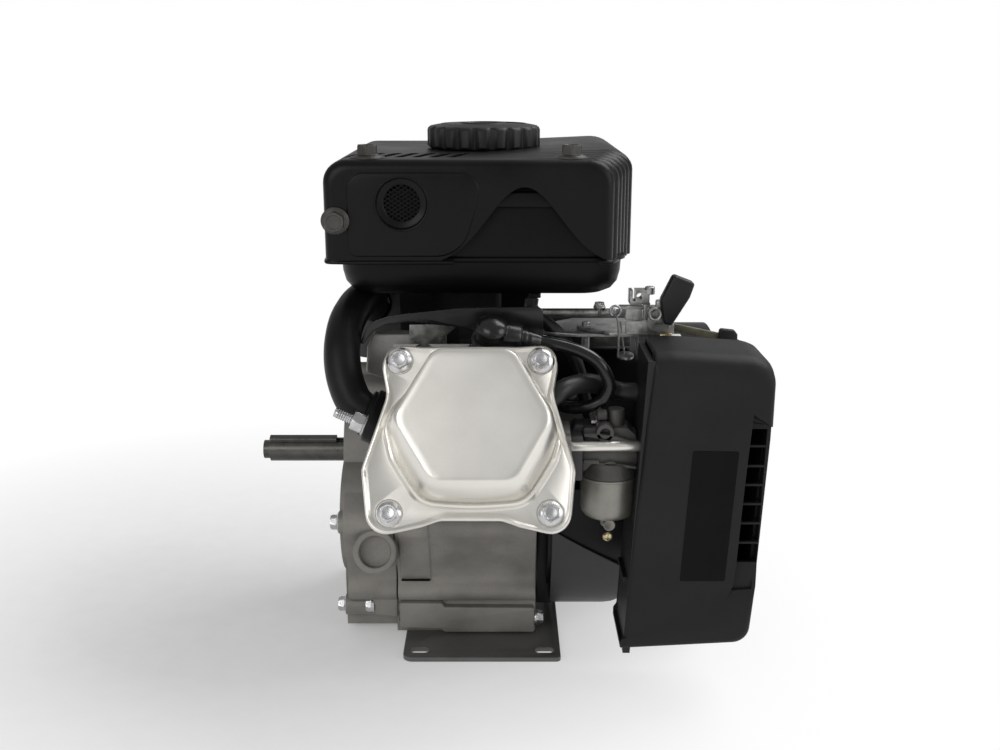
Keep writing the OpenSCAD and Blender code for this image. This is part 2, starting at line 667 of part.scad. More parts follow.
module connecting_rod() color("lightgray") difference() {
    union() {
        bore_slab(-7.5, 15) translate([0, crank_r]) circle(r = big_end_r);
        bore_slab(-6.5, 13) {
            translate([0, crank_r + rod_length]) circle(r = eye_r);
            polygon([[-9, crank_r], [9, crank_r], [5, crank_r + rod_length - 4], [-5, crank_r + rod_length - 4]]);
        }
        bore_slab(-6, 12) translate([-17, crank_r]) square([34, 8]);
    }
    bore_slab(-9, 18) {
        translate([0, crank_r]) circle(r = pin_r + fit);
        translate([-20, crank_r - 20]) square([40, 20]);
    }
    bore_slab(-9, 18) translate([0, crank_r + rod_length]) circle(r = 5);
    for (s = [-1, 1]) for (w = [-15, 7.4]) bore_slab(s > 0 ? 4 : -7.6, 3.6)
        polygon([[-3.5, crank_r + 17], [3.5, crank_r + 17], [2, crank_r + rod_length - 12],
            [-2, crank_r + rod_length - 12]]);
    for (s = [-1, 1]) bore_post(0, 14 * s, crank_r - 1, 2.5, 10);
}

module rod_cap() {
    color("lightgray") difference() {
        union() {
            bore_slab(-7.5, 15) translate([0, crank_r]) circle(r = big_end_r);
            bore_slab(-6, 12) translate([-17, crank_r - 7]) square([34, 7]);
        }
        bore_slab(-9, 18) {
            translate([0, crank_r]) circle(r = pin_r + fit);
            translate([-20, crank_r]) square([40, 20]);
        }
        for (s = [-1, 1]) bore_post(0, 14 * s, crank_r - 9, 2.5, 10);
    }
    color("dimgray") for (s = [-1, 1]) in_bore() translate([0, 14 * s, crank_r - 7]) mirror([0, 0, 1])
        translate([0, 0, 0]) { translate([0, 0, -14]) cylinder(r = 2.4, h = 14); cylinder(r = 3.3, h = 3); }
}

skirt_u = rod_length + 12;      // lower edge of the skirt, clear of the small end's path
module piston() {
    color("lightgray") difference() {
        in_bore() translate([0, 0, skirt_u]) cylinder(r = piston_r, h = crown_u + crown_t - skirt_u);
        difference() {
            in_bore() translate([0, 0, skirt_u - e]) cylinder(r = piston_r - 2.2, h = crown_u - skirt_u + e);
            for (s = [-1, 1]) in_bore() translate([s * 18 - 7, -9, skirt_u]) cube([14, 18, crown_u - skirt_u]);
        }
        for (g = [0 : 1]) in_bore() translate([0, 0, crown_u + crown_t - 2.6 - 2.6 * g])
            ring(piston_r + 1, piston_r - 2, 1.2);
        in_bore() translate([-30, 0, piston_pin_u]) rotate([0, 90, 0]) cylinder(r = 5, h = 60);
    }
    color("dimgray") for (g = [0 : 1]) in_bore() translate([0, 0, crown_u + crown_t - 2.6 - 2.6 * g])
        ring(bore_d / 2 - 0.01, piston_r - 2, 1.2);
    // the pin's two ends; its middle is left out, where the small end passes
    color("silver") for (s = [-1, 1]) in_bore() translate([s > 0 ? 10.5 : -22.5, 0, piston_pin_u])
        rotate([0, 90, 0]) ring(5, 3, 12);
}

// ---- flywheel side ----

module flywheel() color("gray") difference() {
    union() {
        disc_x(hub_x, 20, 26);
        disc_x(hub_x, flywheel_r, 7);
        ring_x(hub_x, flywheel_r, flywheel_r - 13, 22);
        for (a = [140, 152]) along_x(hub_x + 4) rotate([0, 0, a]) translate([flywheel_r - 2, -5, 0]) cube([2.2, 10, 14]);
    }
    along_x(hub_x - 1) cylinder(r1 = 11, r2 = 9, h = 31);
    for (a = [0 : 60 : 300]) along_x(hub_x - e) rotate([0, 0, a]) translate([40, 0, 0]) cylinder(r = 9, h = 8);
}

fan_x = hub_x + 22;
module cooling_fan() color("dimgray") {
    ring_x(fan_x, flywheel_r - 1, 24, 3);
    for (i = [0 : 13]) along_x(fan_x + 3 - e) rotate([0, 0, i * 360 / 14]) translate([flywheel_r - 32, 0, 0])
        rotate([0, 0, 22]) cube([30, 2.4, 17]);
}

module starter_cup() color("silver") {
    cup_x = hub_x + 26;
    difference() {
        disc_x(cup_x, 32, 22);
        disc_x(cup_x + 2, 30, 22);
        disc_x(cup_x - 1, 9.6, 4);
        for (a = [0 : 60 : 300]) along_x(cup_x + 11) rotate([0, 0, a]) translate([26, -5, 0]) cube([8, 10, 6]);
    }
    difference() {
        along_x(cup_x + 4.2) cylinder(r = 12, h = 9, $fn = 6);
        disc_x(cup_x + 1, 7.02, 14);
    }
    ring_x(cup_x + 2, 12, 9.6, 2.2);
}

module blower_housing() color([0.12, 0.12, 0.13]) difference() {
    union() {
        ring_x(blower_x, blower_r, blower_r - 1.6, blower_l);
        ring_x(blower_end - 1.6, blower_r, recoil_r - 12, 1.6);
        ring_x(blower_x, blower_r, 24, 1.6);
    }
    // mouth that lets the air onto the cylinder
    in_bore() translate([boss_x - bore_x - e, -34, 50]) cube([30, 62, 60]);
}

module ignition_coil() {
    coil_a = 50;
    color("silver") along_x(hub_x + 1) rotate([0, 0, 180 + coil_a - 20]) for (s = [-1, 1])
        translate([flywheel_r + 0.4, s * 16 - 4, 0]) {
            cube([16, 8, 8]);
            translate([9.5, 4, blower_x + 1.6 - hub_x - 1]) cylinder(r = 3.8, h = hub_x + 1.5 - blower_x - 1.6);
        }
    color([0.1, 0.1, 0.1]) along_x(hub_x + 1) rotate([0, 0, 180 + coil_a - 20]) translate([flywheel_r + 5, -11.8, 0])
        cube([14, 23.6, 20]);
}

module cylinder_shroud() color([0.1, 0.1, 0.11]) in_bore() {
    sheet = 1.2;
    high = 44;
    translate([-head_half - 1, high, case_r + 7]) cube([2 * head_half + 2, sheet, deck_u - case_r + 8]);
    translate([-head_half - 1 - sheet, -20, case_r + 7]) cube([sheet, high + 20 + sheet, deck_u - case_r - 8]);
}

module recoil_housing() color([0.12, 0.12, 0.13]) difference() {
    union() {
        ring_x(blower_end, recoil_r, recoil_r - 2, recoil_l - 2);
        ring_x(blower_end, recoil_r + 9, recoil_r - 2, 2);
        disc_x(recoil_end - 6, recoil_r - 8, 6);
        along_x(recoil_end - 6) ring(recoil_r, recoil_r - 9, 3);
        disc_x(blower_end + 8, 8, recoil_l - 9);
    }
    difference() {
        disc_x(recoil_end - 8, recoil_r - 10, 6);
        disc_x(recoil_end - 9, 12, 8);
    }
    for (a = [0 : 20 : 340]) along_x(recoil_end - 3) rotate([0, 0, a]) translate([40, -2.5, -4]) cube([24, 5, 12]);
    for (a = [0 : 90 : 270]) along_x(blower_end - e) rotate([0, 0, a + 45]) translate([recoil_r + 4, 0, 0])
        cylinder(r = 2.7, h = 4);
    // rope outlet at the back
    translate([blower_end + 14, crank_y + 40, crank_z + rope_r - 4]) cube([8, 60, 8]);
}

rope_r = 28;
module recoil_pulley() {
    pulley_x = blower_end + 10;
    color("darkslategray") difference() {
        union() {
            disc_x(pulley_x, 33, 3);
            disc_x(pulley_x, 23, 14);
            disc_x(pulley_x + 11, 33, 3);
            for (a = [0, 180]) along_x(pulley_x - 6) rotate([0, 0, a]) translate([14, -5, 0]) cube([12, 10, 6]);
        }
        disc_x(pulley_x - 8, 8 + fit, 30);
    }
    color("ivory") ring_x(pulley_x + 3, rope_r + 2, 23, 8);
}

handle_y = crank_y + sqrt(pow(recoil_r, 2) - pow(rope_r, 2)) + 2.5;
module starter_handle() color([0.08, 0.08, 0.08]) {
    x = blower_end + 18;
    translate([x, handle_y, crank_z + rope_r]) rotate([-90, 0, 0]) cylinder(r1 = 7, r2 = 10, h = 10);
    translate([x, handle_y + 14, crank_z + rope_r - 22]) cylinder(r = 8, h = 52);
    for (z = [-22, 30]) translate([x, handle_y + 14, crank_z + rope_r + z]) sphere(r = 8);
}

// ---- tank ----

module tank_outline(inset) translate([0, tank_front + tank_d / 2])
    round_rect(tank_w - 2 * inset, tank_d - 2 * inset, max(11 - inset, 4));

module fuel_tank() color([0.13, 0.13, 0.14]) difference() {
    union() {
        translate([0, 0, tank_z]) linear_extrude(tank_h - cover_gap) tank_outline(5.5);
        translate([tank_mid_x, tank_mid_y, tank_top - 6]) cylinder(r = neck_r, h = 8);
        translate([30, -60, tank_z - 5]) cylinder(r = 3.5, h = 8);
    }
    translate([0, 0, tank_z + tank_wall]) linear_extrude(tank_h - cover_gap - 2 * tank_wall)
        tank_outline(5.5 + tank_wall);
    translate([tank_mid_x, tank_mid_y, tank_top - 9]) cylinder(r = neck_r - 3, h = 14);
    translate([30, -60, tank_z - 6]) cylinder(r = 2, h = 12);
}

vent_x = -43;
vent_z = tank_z + 52;
module tank_cover() color([0.07, 0.07, 0.075]) difference() {
    union() {
        translate([0, 0, tank_z + 18]) linear_extrude(tank_h - 18) tank_outline(0);
        translate([vent_x, tank_front + 3, vent_z]) rotate([90, 0, 0]) cylinder(r = 19, h = 3.6);
    }
    translate([0, 0, tank_z + 18 - e]) linear_extrude(tank_h - 18 - 2.5 + e) tank_outline(2.5);
    translate([tank_mid_x, tank_mid_y, tank_top - 4]) cylinder(r = neck_r + 1, h = 8);
    // arched opening in the front
    translate([25, tank_front + 12, 0]) rotate([90, 0, 0]) linear_extrude(30) {
        translate([0, tank_z + 47]) circle(r = 15);
        polygon([[-38, tank_z + 17], [36, tank_z + 17], [15, tank_z + 47], [-15, tank_z + 47]]);
    }
    translate([vent_x, tank_front + 8, vent_z]) rotate([90, 0, 0]) cylinder(r = 12, h = 14);
    // cooling slots in the top
    for (i = [0 : 5]) translate([vent_x - 30 + 10 * i, tank_front + 26, tank_top - 5]) cube([6, 40, 8]);
    for (x = [-60, 52]) translate([x, tank_front + 14, tank_top - 5]) cylinder(r = 3.1, h = 8);
    translate([-70, tank_front + 5, tank_z + 42]) rotate([90, 0, 0]) cylinder(r = 3.1, h = 8);
}

module vent_mesh() color("gray") translate([vent_x, tank_front + 3, vent_z]) rotate([90, 0, 0]) {
    ring(12, 10.5, 1.5);
    intersection() {
        cylinder(r = 11, h = 1.5);
        for (a = [45, -45], i = [-3 : 3]) rotate([0, 0, a]) translate([3.4 * i - 0.5, -12, 0]) cube([1, 24, 1.5]);
    }
}

module tank_bolts() color("dimgray") {
    for (x = [-60, 52]) translate([x, tank_front + 14, tank_top]) screw(3, 2.8, 6.5);
    translate([-70, tank_front, tank_z + 42]) rotate([90, 0, 0]) screw(2.9, 2.2, 6.5);
    for (x = [split_x + 12, case_x - 12]) translate([x, crank_y - 2, pad_z + 3]) screw(3, 10, 6.5);
}

module tank_bracket() color([0.1, 0.1, 0.11]) difference() {
    union() {
        for (x = [split_x + 2, case_x - 22]) {
            translate([x, crank_y - 15, pad_z]) cube([20, 26, 3]);
            translate([x, crank_y - 15, pad_z]) cube([20, 3, tank_z - pad_z]);
        }
        translate([-62, crank_y - 70, tank_z - 3]) cube([124, 72, 3]);
    }
    for (x = [split_x + 12, case_x - 12]) translate([x, crank_y - 2, pad_z - e]) cylinder(r = 3.1, h = 5);
}

module fuel_cap() color([0.06, 0.06, 0.06]) translate([tank_mid_x, tank_mid_y, tank_top + loose]) difference() {
    union() {
        cylinder(r = cap_d / 2 - 1.5, h = cap_h);
        for (i = [0 : 23]) rotate([0, 0, i * 15]) translate([cap_d / 2 - 2, 0, 0]) cylinder(r = 2, h = cap_h - 2);
    }
    translate([0, 0, -e]) cylinder(r = neck_r + loose, h = 4 + e);
}

module hoses() color([0.05, 0.05, 0.05]) {
    tube(smooth(fuel_points, 3), 4, 8);
    tube(smooth(breather_points, 3), 5.5, 10);
}

// ---- exhaust ----

module muffler() color("gray") difference() {
    translate([-34, 64, 0]) {
        translate([0, 0, 168]) linear_extrude(56) round_rect(106, 84, 14);
        translate([0, 30, 196]) rotate([-90, 0, 0]) cylinder(r = 9, h = 24);
    }
    translate([-34, 64, 169.2]) linear_extrude(53.6) round_rect(103.6, 81.6, 12.8);
    translate([-72, 10, 205]) rotate([-90, 0, 0]) cylinder(r = pipe_r, h = 20);
    translate([-34, 90, 196]) rotate([-90, 0, 0]) cylinder(r = 7.5, h = 40);
}

module exhaust_elbow() color([0.2, 0.2, 0.2]) difference() {
    union() {
        tube(smooth(exhaust_points, 2), pipe_r, 16);
        translate([exhaust_face - 9, exhaust_y, exhaust_z]) rotate([0, 90, 0]) cylinder(r = 15, h = 8);
        in_bore() for (s = [-1, 1]) translate([flange_x - 9, exhaust_w + s * 20, port_u]) rotate([0, 90, 0])
            cylinder(r = 7, h = 8);
        in_bore() translate([flange_x - 9, exhaust_w - 20, port_u - 6]) cube([8, 40, 12]);
    }
    translate([exhaust_face - 14, exhaust_y, exhaust_z]) rotate([0, 90, 0]) cylinder(r = 9, h = 14);
    in_bore() for (s = [-1, 1]) translate([flange_x - 24, exhaust_w + s * 20, port_u]) rotate([0, 90, 0])
        cylinder(r = 3.1, h = 30);
}

module port_studs() color("gainsboro") {
    for (s = [-1, 1]) {
        in_bore() translate([flange_x - 24, exhaust_w + s * 20, port_u]) rotate([0, 90, 0]) cylinder(r = 2.95, h = 34);
        in_bore() translate([flange_x - 14.3, exhaust_w + s * 20, port_u]) rotate([0, 90, 0]) difference() {
            cylinder(r = 5.8, h = 5.2, $fn = 6);
            translate([0, 0, -1]) cylinder(r = 2.95, h = 8);
        }
        translate([intake_face - 12, intake_y, intake_z]) rotate([0, 90, 0])
            translate([s * stud_c * sin(tilt), s * stud_c * cos(tilt), 0]) {
                cylinder(r = 2.9, h = 12 + insulator_t + carb_l + 10);
                translate([0, 0, 12 + insulator_t + carb_l + cleaner_plate]) cylinder(r = 5, h = 4, $fn = 6);
            }
    }
}

// ---- fuel system ----

module stud_flange(r, t) {
    cylinder(r = r, h = t);
    for (s = [-1, 1]) translate([s * stud_c * sin(tilt), s * stud_c * cos(tilt), 0]) cylinder(r = 6.5, h = t);
    rotate([0, 0, 90 - tilt]) translate([-stud_c, -6, 0]) cube([2 * stud_c, 12, t]);
}

module stud_holes(t) for (s = [-1, 1]) translate([s * stud_c * sin(tilt), s * stud_c * cos(tilt), -e])
    cylinder(r = 3, h = t + 2 * e);

module insulator() color([0.15, 0.13, 0.12]) translate([intake_face, intake_y, intake_z]) rotate([0, 90, 0])
    difference() {
        stud_flange(15, insulator_t);
        translate([0, 0, -e]) cylinder(r = 8, h = insulator_t + 2 * e);
        stud_holes(insulator_t);
    }

module carburettor_body() color("darkgray") difference() {
    union() {
        translate([carb_x, intake_y, intake_z]) rotate([0, 90, 0]) {
            stud_flange(14, 5);
            cylinder(r = 12.5, h = carb_l);
            translate([0, 0, carb_l - 4]) stud_flange(13.5, 4);
        }
        translate([bowl_x, intake_y, bowl_top]) cylinder(r = bowl_r, h = 8);
        translate([bowl_x - 5, intake_y - 5, bowl_top + 20]) cube([10, 10, 10]);
        translate([70.5, intake_y + 10, bowl_top + 4]) rotate([-90, 0, 0]) cylinder(r = 3, h = -90 - intake_y - 10);
    }
    translate([carb_x - e, intake_y, intake_z]) rotate([0, 90, 0]) cylinder(r = 8, h = carb_l + 2 * e);
    translate([carb_x, intake_y, intake_z]) rotate([0, 90, 0]) stud_holes(carb_l);
    translate([carb_x + 9, intake_y, intake_z - 14]) cylinder(r = 2 + fit, h = 40);
}

module float_bowl() {
    color("silver") difference() {
        translate([bowl_x, intake_y, bowl_top - bowl_h]) cylinder(r = bowl_r, h = bowl_h);
        translate([bowl_x, intake_y, bowl_top - bowl_h + 1.2]) cylinder(r = bowl_r - 1.2, h = bowl_h);
        translate([bowl_x, intake_y, bowl_top - bowl_h - e]) cylinder(r = 3, h = 3);
    }
    color("gold") translate([bowl_x, intake_y, bowl_top - bowl_h]) {
        translate([0, 0, -e]) cylinder(r = 2.95, h = bowl_h + e);
        translate([0, 0, -6]) cylinder(r = 5.5, h = 6, $fn = 6);
    }
}

module throttle_shaft() color("silver") {
    x = carb_x + 9;
    translate([x, intake_y, intake_z - 10]) cylinder(r = 2, h = 30);
    translate([x - 0.5, intake_y, intake_z]) rotate([0, 90, 0]) cylinder(r = 7.6, h = 1);
    translate([x - 4, intake_y - 4, intake_z + 16.6]) cube([8, 24, 1.5]);
}

module cleaner_shape(inset, left) {
    low = cleaner_z + inset;
    high = cleaner_z + cleaner_h - inset;
    right_low = cleaner_face(low) + cleaner_w + 3 - inset;
    right_high = cleaner_face(high) + cleaner_w + 1 - inset;
    r = 12 - inset;
    polygon([[cleaner_face(low) + left, low], [right_low - r, low], [right_low, low + r],
        [right_high, high - 2 * r], [right_high - r, high - r / 3], [cleaner_face(high) + left + 12, high],
        [cleaner_face(high) + left, high - 4]]);
}

bracket_z = cleaner_z + 80;
module cleaner_slab(y, d) translate([0, y + d, 0]) rotate([90, 0, 0]) linear_extrude(d) children();

module air_cleaner_base() color([0.08, 0.08, 0.085]) difference() {
    union() {
        cleaner_slab(cleaner_y, cleaner_d) polygon([
            [cleaner_face(cleaner_z), cleaner_z], [cleaner_face(cleaner_z) + cleaner_plate, cleaner_z],
            [cleaner_face(cleaner_z + cleaner_h) + cleaner_plate, cleaner_z + cleaner_h - 4],
            [cleaner_face(cleaner_z + cleaner_h), cleaner_z + cleaner_h - 4]]);
        translate([cleaner_x, intake_y, intake_z]) rotate([0, 90, 0]) cylinder(r = 10.5, h = cleaner_plate + 3);
        // shelf that carries the filter element, and the bracket to the blower
        cleaner_slab(cleaner_y + 8, cleaner_d - 16) translate([cleaner_x - 6, cleaner_z + 40]) square([50, 3]);
        translate([cleaner_face(bracket_z) + 0.5, cleaner_y + cleaner_d - 3, bracket_z])
            cube([cleaner_plate - 1, crank_y - sqrt(pow(blower_r, 2) - pow(bracket_z - crank_z, 2))
                - cleaner_y - cleaner_d + 3, 14]);
    }
    translate([cleaner_x - 9.9, intake_y, intake_z]) rotate([0, 90, 0]) stud_flange(15, 10);
    translate([cleaner_x - 1, intake_y, intake_z]) rotate([0, 90, 0]) cylinder(r = 8, h = 12);
    translate([cleaner_x - 1, intake_y, intake_z]) rotate([0, 90, 0]) stud_holes(8);
    translate([cleaner_x + cleaner_plate, intake_y, intake_z]) rotate([0, 90, 0]) for (s = [-1, 1])
        translate([s * stud_c * sin(tilt), s * stud_c * cos(tilt), 0]) cylinder(r = 6, h = 5);
    translate([cleaner_x - 4, -94, 177]) rotate([0, 90, 0]) cylinder(r = 5.6, h = 14);
}

module filter_element() color("tan") cleaner_slab(cleaner_y + 6, cleaner_d - 12) {
    x = cleaner_x + cleaner_plate + 8;
    z = cleaner_z + 43;
    n = 9;
    polygon(concat([for (i = [0 : n]) [x + (i % 2 == 0 ? 0 : 3), z + 10 * i]],
        [for (i = [n : -1 : 0]) [x + 32 + (i % 2 == 0 ? 0 : 3), z + 10 * i]]));
}

module air_cleaner_cover() color([0.08, 0.08, 0.085]) difference() {
    cleaner_slab(cleaner_y, cleaner_d) cleaner_shape(0, cleaner_plate + loose);
    cleaner_slab(cleaner_y + cleaner_wall, cleaner_d - 2 * cleaner_wall) cleaner_shape(cleaner_wall, -20);
    for (i = [0 : 5]) translate([cleaner_x + cleaner_w - 28, cleaner_y + 8, cleaner_z + 44 + 12 * i])
        cube([60, cleaner_d - 16, 5]);
}

// ---- controls ----

plate_y = -72;
plate_z = 204;
// the plate's back post stands on the blower housing
post_z = crank_z + sqrt(pow(blower_r, 2) - pow(crank_y - plate_y - 44, 2));
lever_x = 103;
lever_z = plate_z + 10;
module control_plate() {
    color("silver") difference() {
        union() {
            translate([56, plate_y, plate_z]) cube([56, 44, 2]);
            translate([68, plate_y + 42, post_z]) cube([24, 2, plate_z + 2 - post_z]);
            translate([88, plate_y, plate_z]) cube([24, 2, 18]);
        }
        translate([lever_x, plate_y - 5, lever_z]) rotate([-90, 0, 0]) cylinder(r = 2.5 + fit, h = 10);
        translate([lever_x + 4, plate_y + 22, plate_z - 2]) cylinder(r = 2.5 + fit, h = 6);
        translate([62, plate_y + 14, plate_z - 2]) cylinder(r = 2.5 + fit, h = 6);
    }
    color("gainsboro") for (p = [[73, 6], [82, 14]]) translate([p[0], plate_y + p[1], plate_z + 2]) difference() {
        cylinder(r = 4.5, h = 9);
        translate([-6, 0, 5]) rotate([0, 90, 0]) cylinder(r = 1.4, h = 12);
    }
}

module throttle_lever() {
    color("silver") translate([lever_x, plate_y - loose, lever_z]) rotate([90, 0, 0]) {
        cylinder(r = 7, h = 2);
        rotate([0, 0, 20]) translate([-4, 0, 0]) cube([8, 16, 2]);
        translate([0, 0, -3]) cylinder(r = 2.5, h = 6);
    }
    color([0.05, 0.05, 0.05]) translate([lever_x + 13, plate_y - loose - 5, lever_z + 6]) rotate([0, -22, 0])
        translate([-8, 0, -14]) cube([16, 4.8, 33]);
}

module choke_lever() color([0.6, 0.52, 0.25]) translate([lever_x + 4, plate_y + 22, plate_z]) {
    translate([0, 0, 2 + loose]) linear_extrude(2) {
        circle(r = 6);
        translate([0, -4]) square([42, 8]);
    }
    translate([0, 0, -1.5]) cylinder(r = 2.5, h = 5);
    translate([28, -4, 2 + loose]) cube([12, 8, 8]);
}

module governor_arm() color("silver") {
    translate([62, plate_y + 14, plate_z - 14]) cylinder(r = 2.5, h = 18);
    translate([62, plate_y + 14, plate_z + 2 + loose]) linear_extrude(2) {
        circle(r = 6);
        translate([-4, -18.5]) square([8, 18.5]);
    }
    translate([62, plate_y - 2.5, plate_z - 26]) cylinder(r = 1.2, h = 31);
}

module dipstick() color([0.06, 0.06, 0.06]) at_dipstick() {
    translate([0, 0, 6]) cylinder(r = 13, h = 8);
    translate([0, 0, -9]) cylinder(r = 9, h = 16);
    translate([0, 0, -38]) cylinder(r = 2, h = 32);
}

// ---- ignition ----

module spark_plug() {
    color("silver") at_plug() {
        translate([0, 0, -3]) cylinder(r = 7, h = 19);
        translate([0, 0, 16]) cylinder(r = 9.5, h = 1.5);
        translate([0, 0, 17.5]) cylinder(r = 10.5, h = 9, $fn = 6);
    }
    color("white") at_plug() translate([0, 0, 26.5]) cylinder(r = 6, h = 12);
    color("silver") at_plug() translate([0, 0, 38.5]) cylinder(r = 3, h = 8);
}

module plug_boot() color([0.05, 0.05, 0.05]) difference() {
    union() {
        at_plug() translate([0, 0, 29]) cylinder(r = 8.5, h = 27);
        at_plug() translate([0, 0, 47]) rotate([0, 90, 0]) cylinder(r = 7, h = 22);
    }
    at_plug() translate([0, 0, 28]) cylinder(r = 6, h = 10.5);
    at_plug() translate([0, 0, 38]) cylinder(r = 3, h = 8.5);
}

module ignition_lead() color([0.08, 0.08, 0.08]) tube(smooth(lead_points, 2), 3.5, 8);

crankcase();
side_cover();
gaskets();
mounting_plate();
case_bolts();
oil_seals();
main_bearings();
cylinder_liner();
cylinder_head();
head_bolts();
rocker_cover();
rocker_cover_bolts();
rocker_shaft();
valve_springs();
spark_plug();
plug_boot();
ignition_lead();
ignition_coil();
piston();
crankshaft();
shaft_key();
flywheel();
cooling_fan();
starter_cup();
connecting_rod();
rod_cap();
camshaft();
intake_valve();
exhaust_valve();
intake_rocker();
exhaust_rocker();
intake_pushrod();
exhaust_pushrod();
blower_housing();
cylinder_shroud();
recoil_housing();
recoil_pulley();
starter_handle();
fuel_tank();
tank_cover();
vent_mesh();
tank_bolts();
tank_bracket();
fuel_cap();
hoses();
muffler();
exhaust_elbow();
port_studs();
insulator();
carburettor_body();
float_bowl();
throttle_shaft();
air_cleaner_base();
filter_element();
air_cleaner_cover();
control_plate();
throttle_lever();
choke_lever();
governor_arm();
dipstick();
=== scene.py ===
import math
import bmesh
import bpy
from mathutils import Matrix, Vector
from mathutils.kdtree import KDTree


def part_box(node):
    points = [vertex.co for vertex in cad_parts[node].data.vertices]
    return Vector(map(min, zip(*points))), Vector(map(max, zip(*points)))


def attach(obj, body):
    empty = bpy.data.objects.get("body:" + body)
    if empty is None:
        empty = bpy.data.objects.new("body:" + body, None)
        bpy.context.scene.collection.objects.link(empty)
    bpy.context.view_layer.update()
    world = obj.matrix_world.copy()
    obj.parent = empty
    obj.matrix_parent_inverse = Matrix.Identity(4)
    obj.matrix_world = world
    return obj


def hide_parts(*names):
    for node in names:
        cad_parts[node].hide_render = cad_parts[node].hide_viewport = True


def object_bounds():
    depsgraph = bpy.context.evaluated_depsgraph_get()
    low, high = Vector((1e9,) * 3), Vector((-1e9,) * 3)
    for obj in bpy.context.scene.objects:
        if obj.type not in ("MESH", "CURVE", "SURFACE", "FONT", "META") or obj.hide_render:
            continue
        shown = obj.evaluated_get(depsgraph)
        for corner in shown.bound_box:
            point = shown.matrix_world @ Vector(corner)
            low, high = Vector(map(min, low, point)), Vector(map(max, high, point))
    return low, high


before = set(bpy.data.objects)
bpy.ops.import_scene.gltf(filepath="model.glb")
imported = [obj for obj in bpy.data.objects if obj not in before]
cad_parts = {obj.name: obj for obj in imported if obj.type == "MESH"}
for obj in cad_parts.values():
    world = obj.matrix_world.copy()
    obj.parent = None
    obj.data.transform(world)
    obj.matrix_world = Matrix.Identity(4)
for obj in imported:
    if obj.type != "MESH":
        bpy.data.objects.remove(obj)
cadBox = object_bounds()
mm = 0.001


# the camera, the lamps, the floor and the world
studio = {
    "cameraPlace": (0.0113, -0.7216, 0.3554),
    "tiltDown": 15,
    "lens": 41.4,
    "lamps": [
        ("top_lamp", (0.75, 0.4, 1.3), (0, 0, 0.1), (0.9, 0.9), 13),
        ("front_lamp", (-0.9, -1.5, 0.9), (0, -0.05, 0.15), (1.2, 0.9), 9),
        ("right_lamp", (1.4, -0.7, 0.7), (0, 0, 0.15), (0.9, 0.9), 7),
    ],
    "floorSize": 12,
    "floorShadeMiddle": (-0.16, 0.02, 0.0),      # painted shade: the paper keeps little glow round this spot, set left of the engine so it stays greyer there
    "floorGlowFade": ((0.12, 0.2), (0.4, 1)),   # and its glow takes it to white at these distances
    "worldLight": 0.42,
}


def makeCamera():
    eye = bpy.data.objects.new("camera", bpy.data.cameras.new("camera"))
    bpy.context.scene.collection.objects.link(eye)
    eye.location = studio["cameraPlace"]
    eye.rotation_euler = (math.radians(90 - studio["tiltDown"]), 0, 0)
    eye.data.lens = studio["lens"]
    eye.data.sensor_width = 36
    bpy.context.scene.camera = eye


def addLamp(name, place, aim, size, power):
    lamp = bpy.data.objects.new(name, bpy.data.lights.new(name, "AREA"))
    bpy.context.scene.collection.objects.link(lamp)
    lamp.data.shape = "RECTANGLE"
    lamp.data.size, lamp.data.size_y = size
    lamp.data.energy = power
    lamp.location = place
    lamp.rotation_euler = (Vector(aim) - Vector(place)).to_track_quat("-Z", "Y").to_euler()


makeCamera()
for lampValues in studio["lamps"]:
    addLamp(*lampValues)
print("camera and lamps are in place")


# shader maths: a Wire is one socket of a node tree, and arithmetic on it adds Math nodes
class Wire:
    def __init__(self, tree, socket=None):
        self.tree = tree
        self.socket = socket

    def add(self, kind, settings=None, values=None, out=0):
        made = self.tree.nodes.new(kind)
        for name, value in (settings or {}).items():
            if name == "stops":
                ramp = made.color_ramp
                while len(ramp.elements) < len(value):
                    ramp.elements.new(1)
                for element, (place, shade) in zip(ramp.elements, value):
                    element.position = place
                    element.color = (shade, shade, shade, 1)
            else:
                setattr(made, name, value)
        for name, value in (values or {}).items():
            if isinstance(value, Wire):
                self.tree.links.new(value.socket, made.inputs[name])
            else:
                made.inputs[name].default_value = value
        return Wire(self.tree, made.outputs[out] if made.outputs else None)

    def maths(self, operation, first, second):
        return self.add("ShaderNodeMath", {"operation": operation}, {0: first, 1: second})

    def __add__(self, other):
        return self.maths("ADD", self, other)

    def __sub__(self, other):
        return self.maths("SUBTRACT", self, other)

    def __rsub__(self, other):
        return self.maths("SUBTRACT", other, self)

    def __mul__(self, other):
        return self.maths("MULTIPLY", self, other)

    __radd__ = __add__
    __rmul__ = __mul__

    def blendColour(self, low, high):
        return self.add("ShaderNodeMix", {"data_type": "RGBA"}, {0: self, 6: low, 7: high}, out=2)

    def ramp(self, *stops):
        return self.add("ShaderNodeValToRGB", {"stops": stops}, {0: self})


def startMaterial(name):
    made = bpy.data.materials.new(name)
    made.use_nodes = True
    made.node_tree.nodes.clear()
    return made, Wire(made.node_tree)


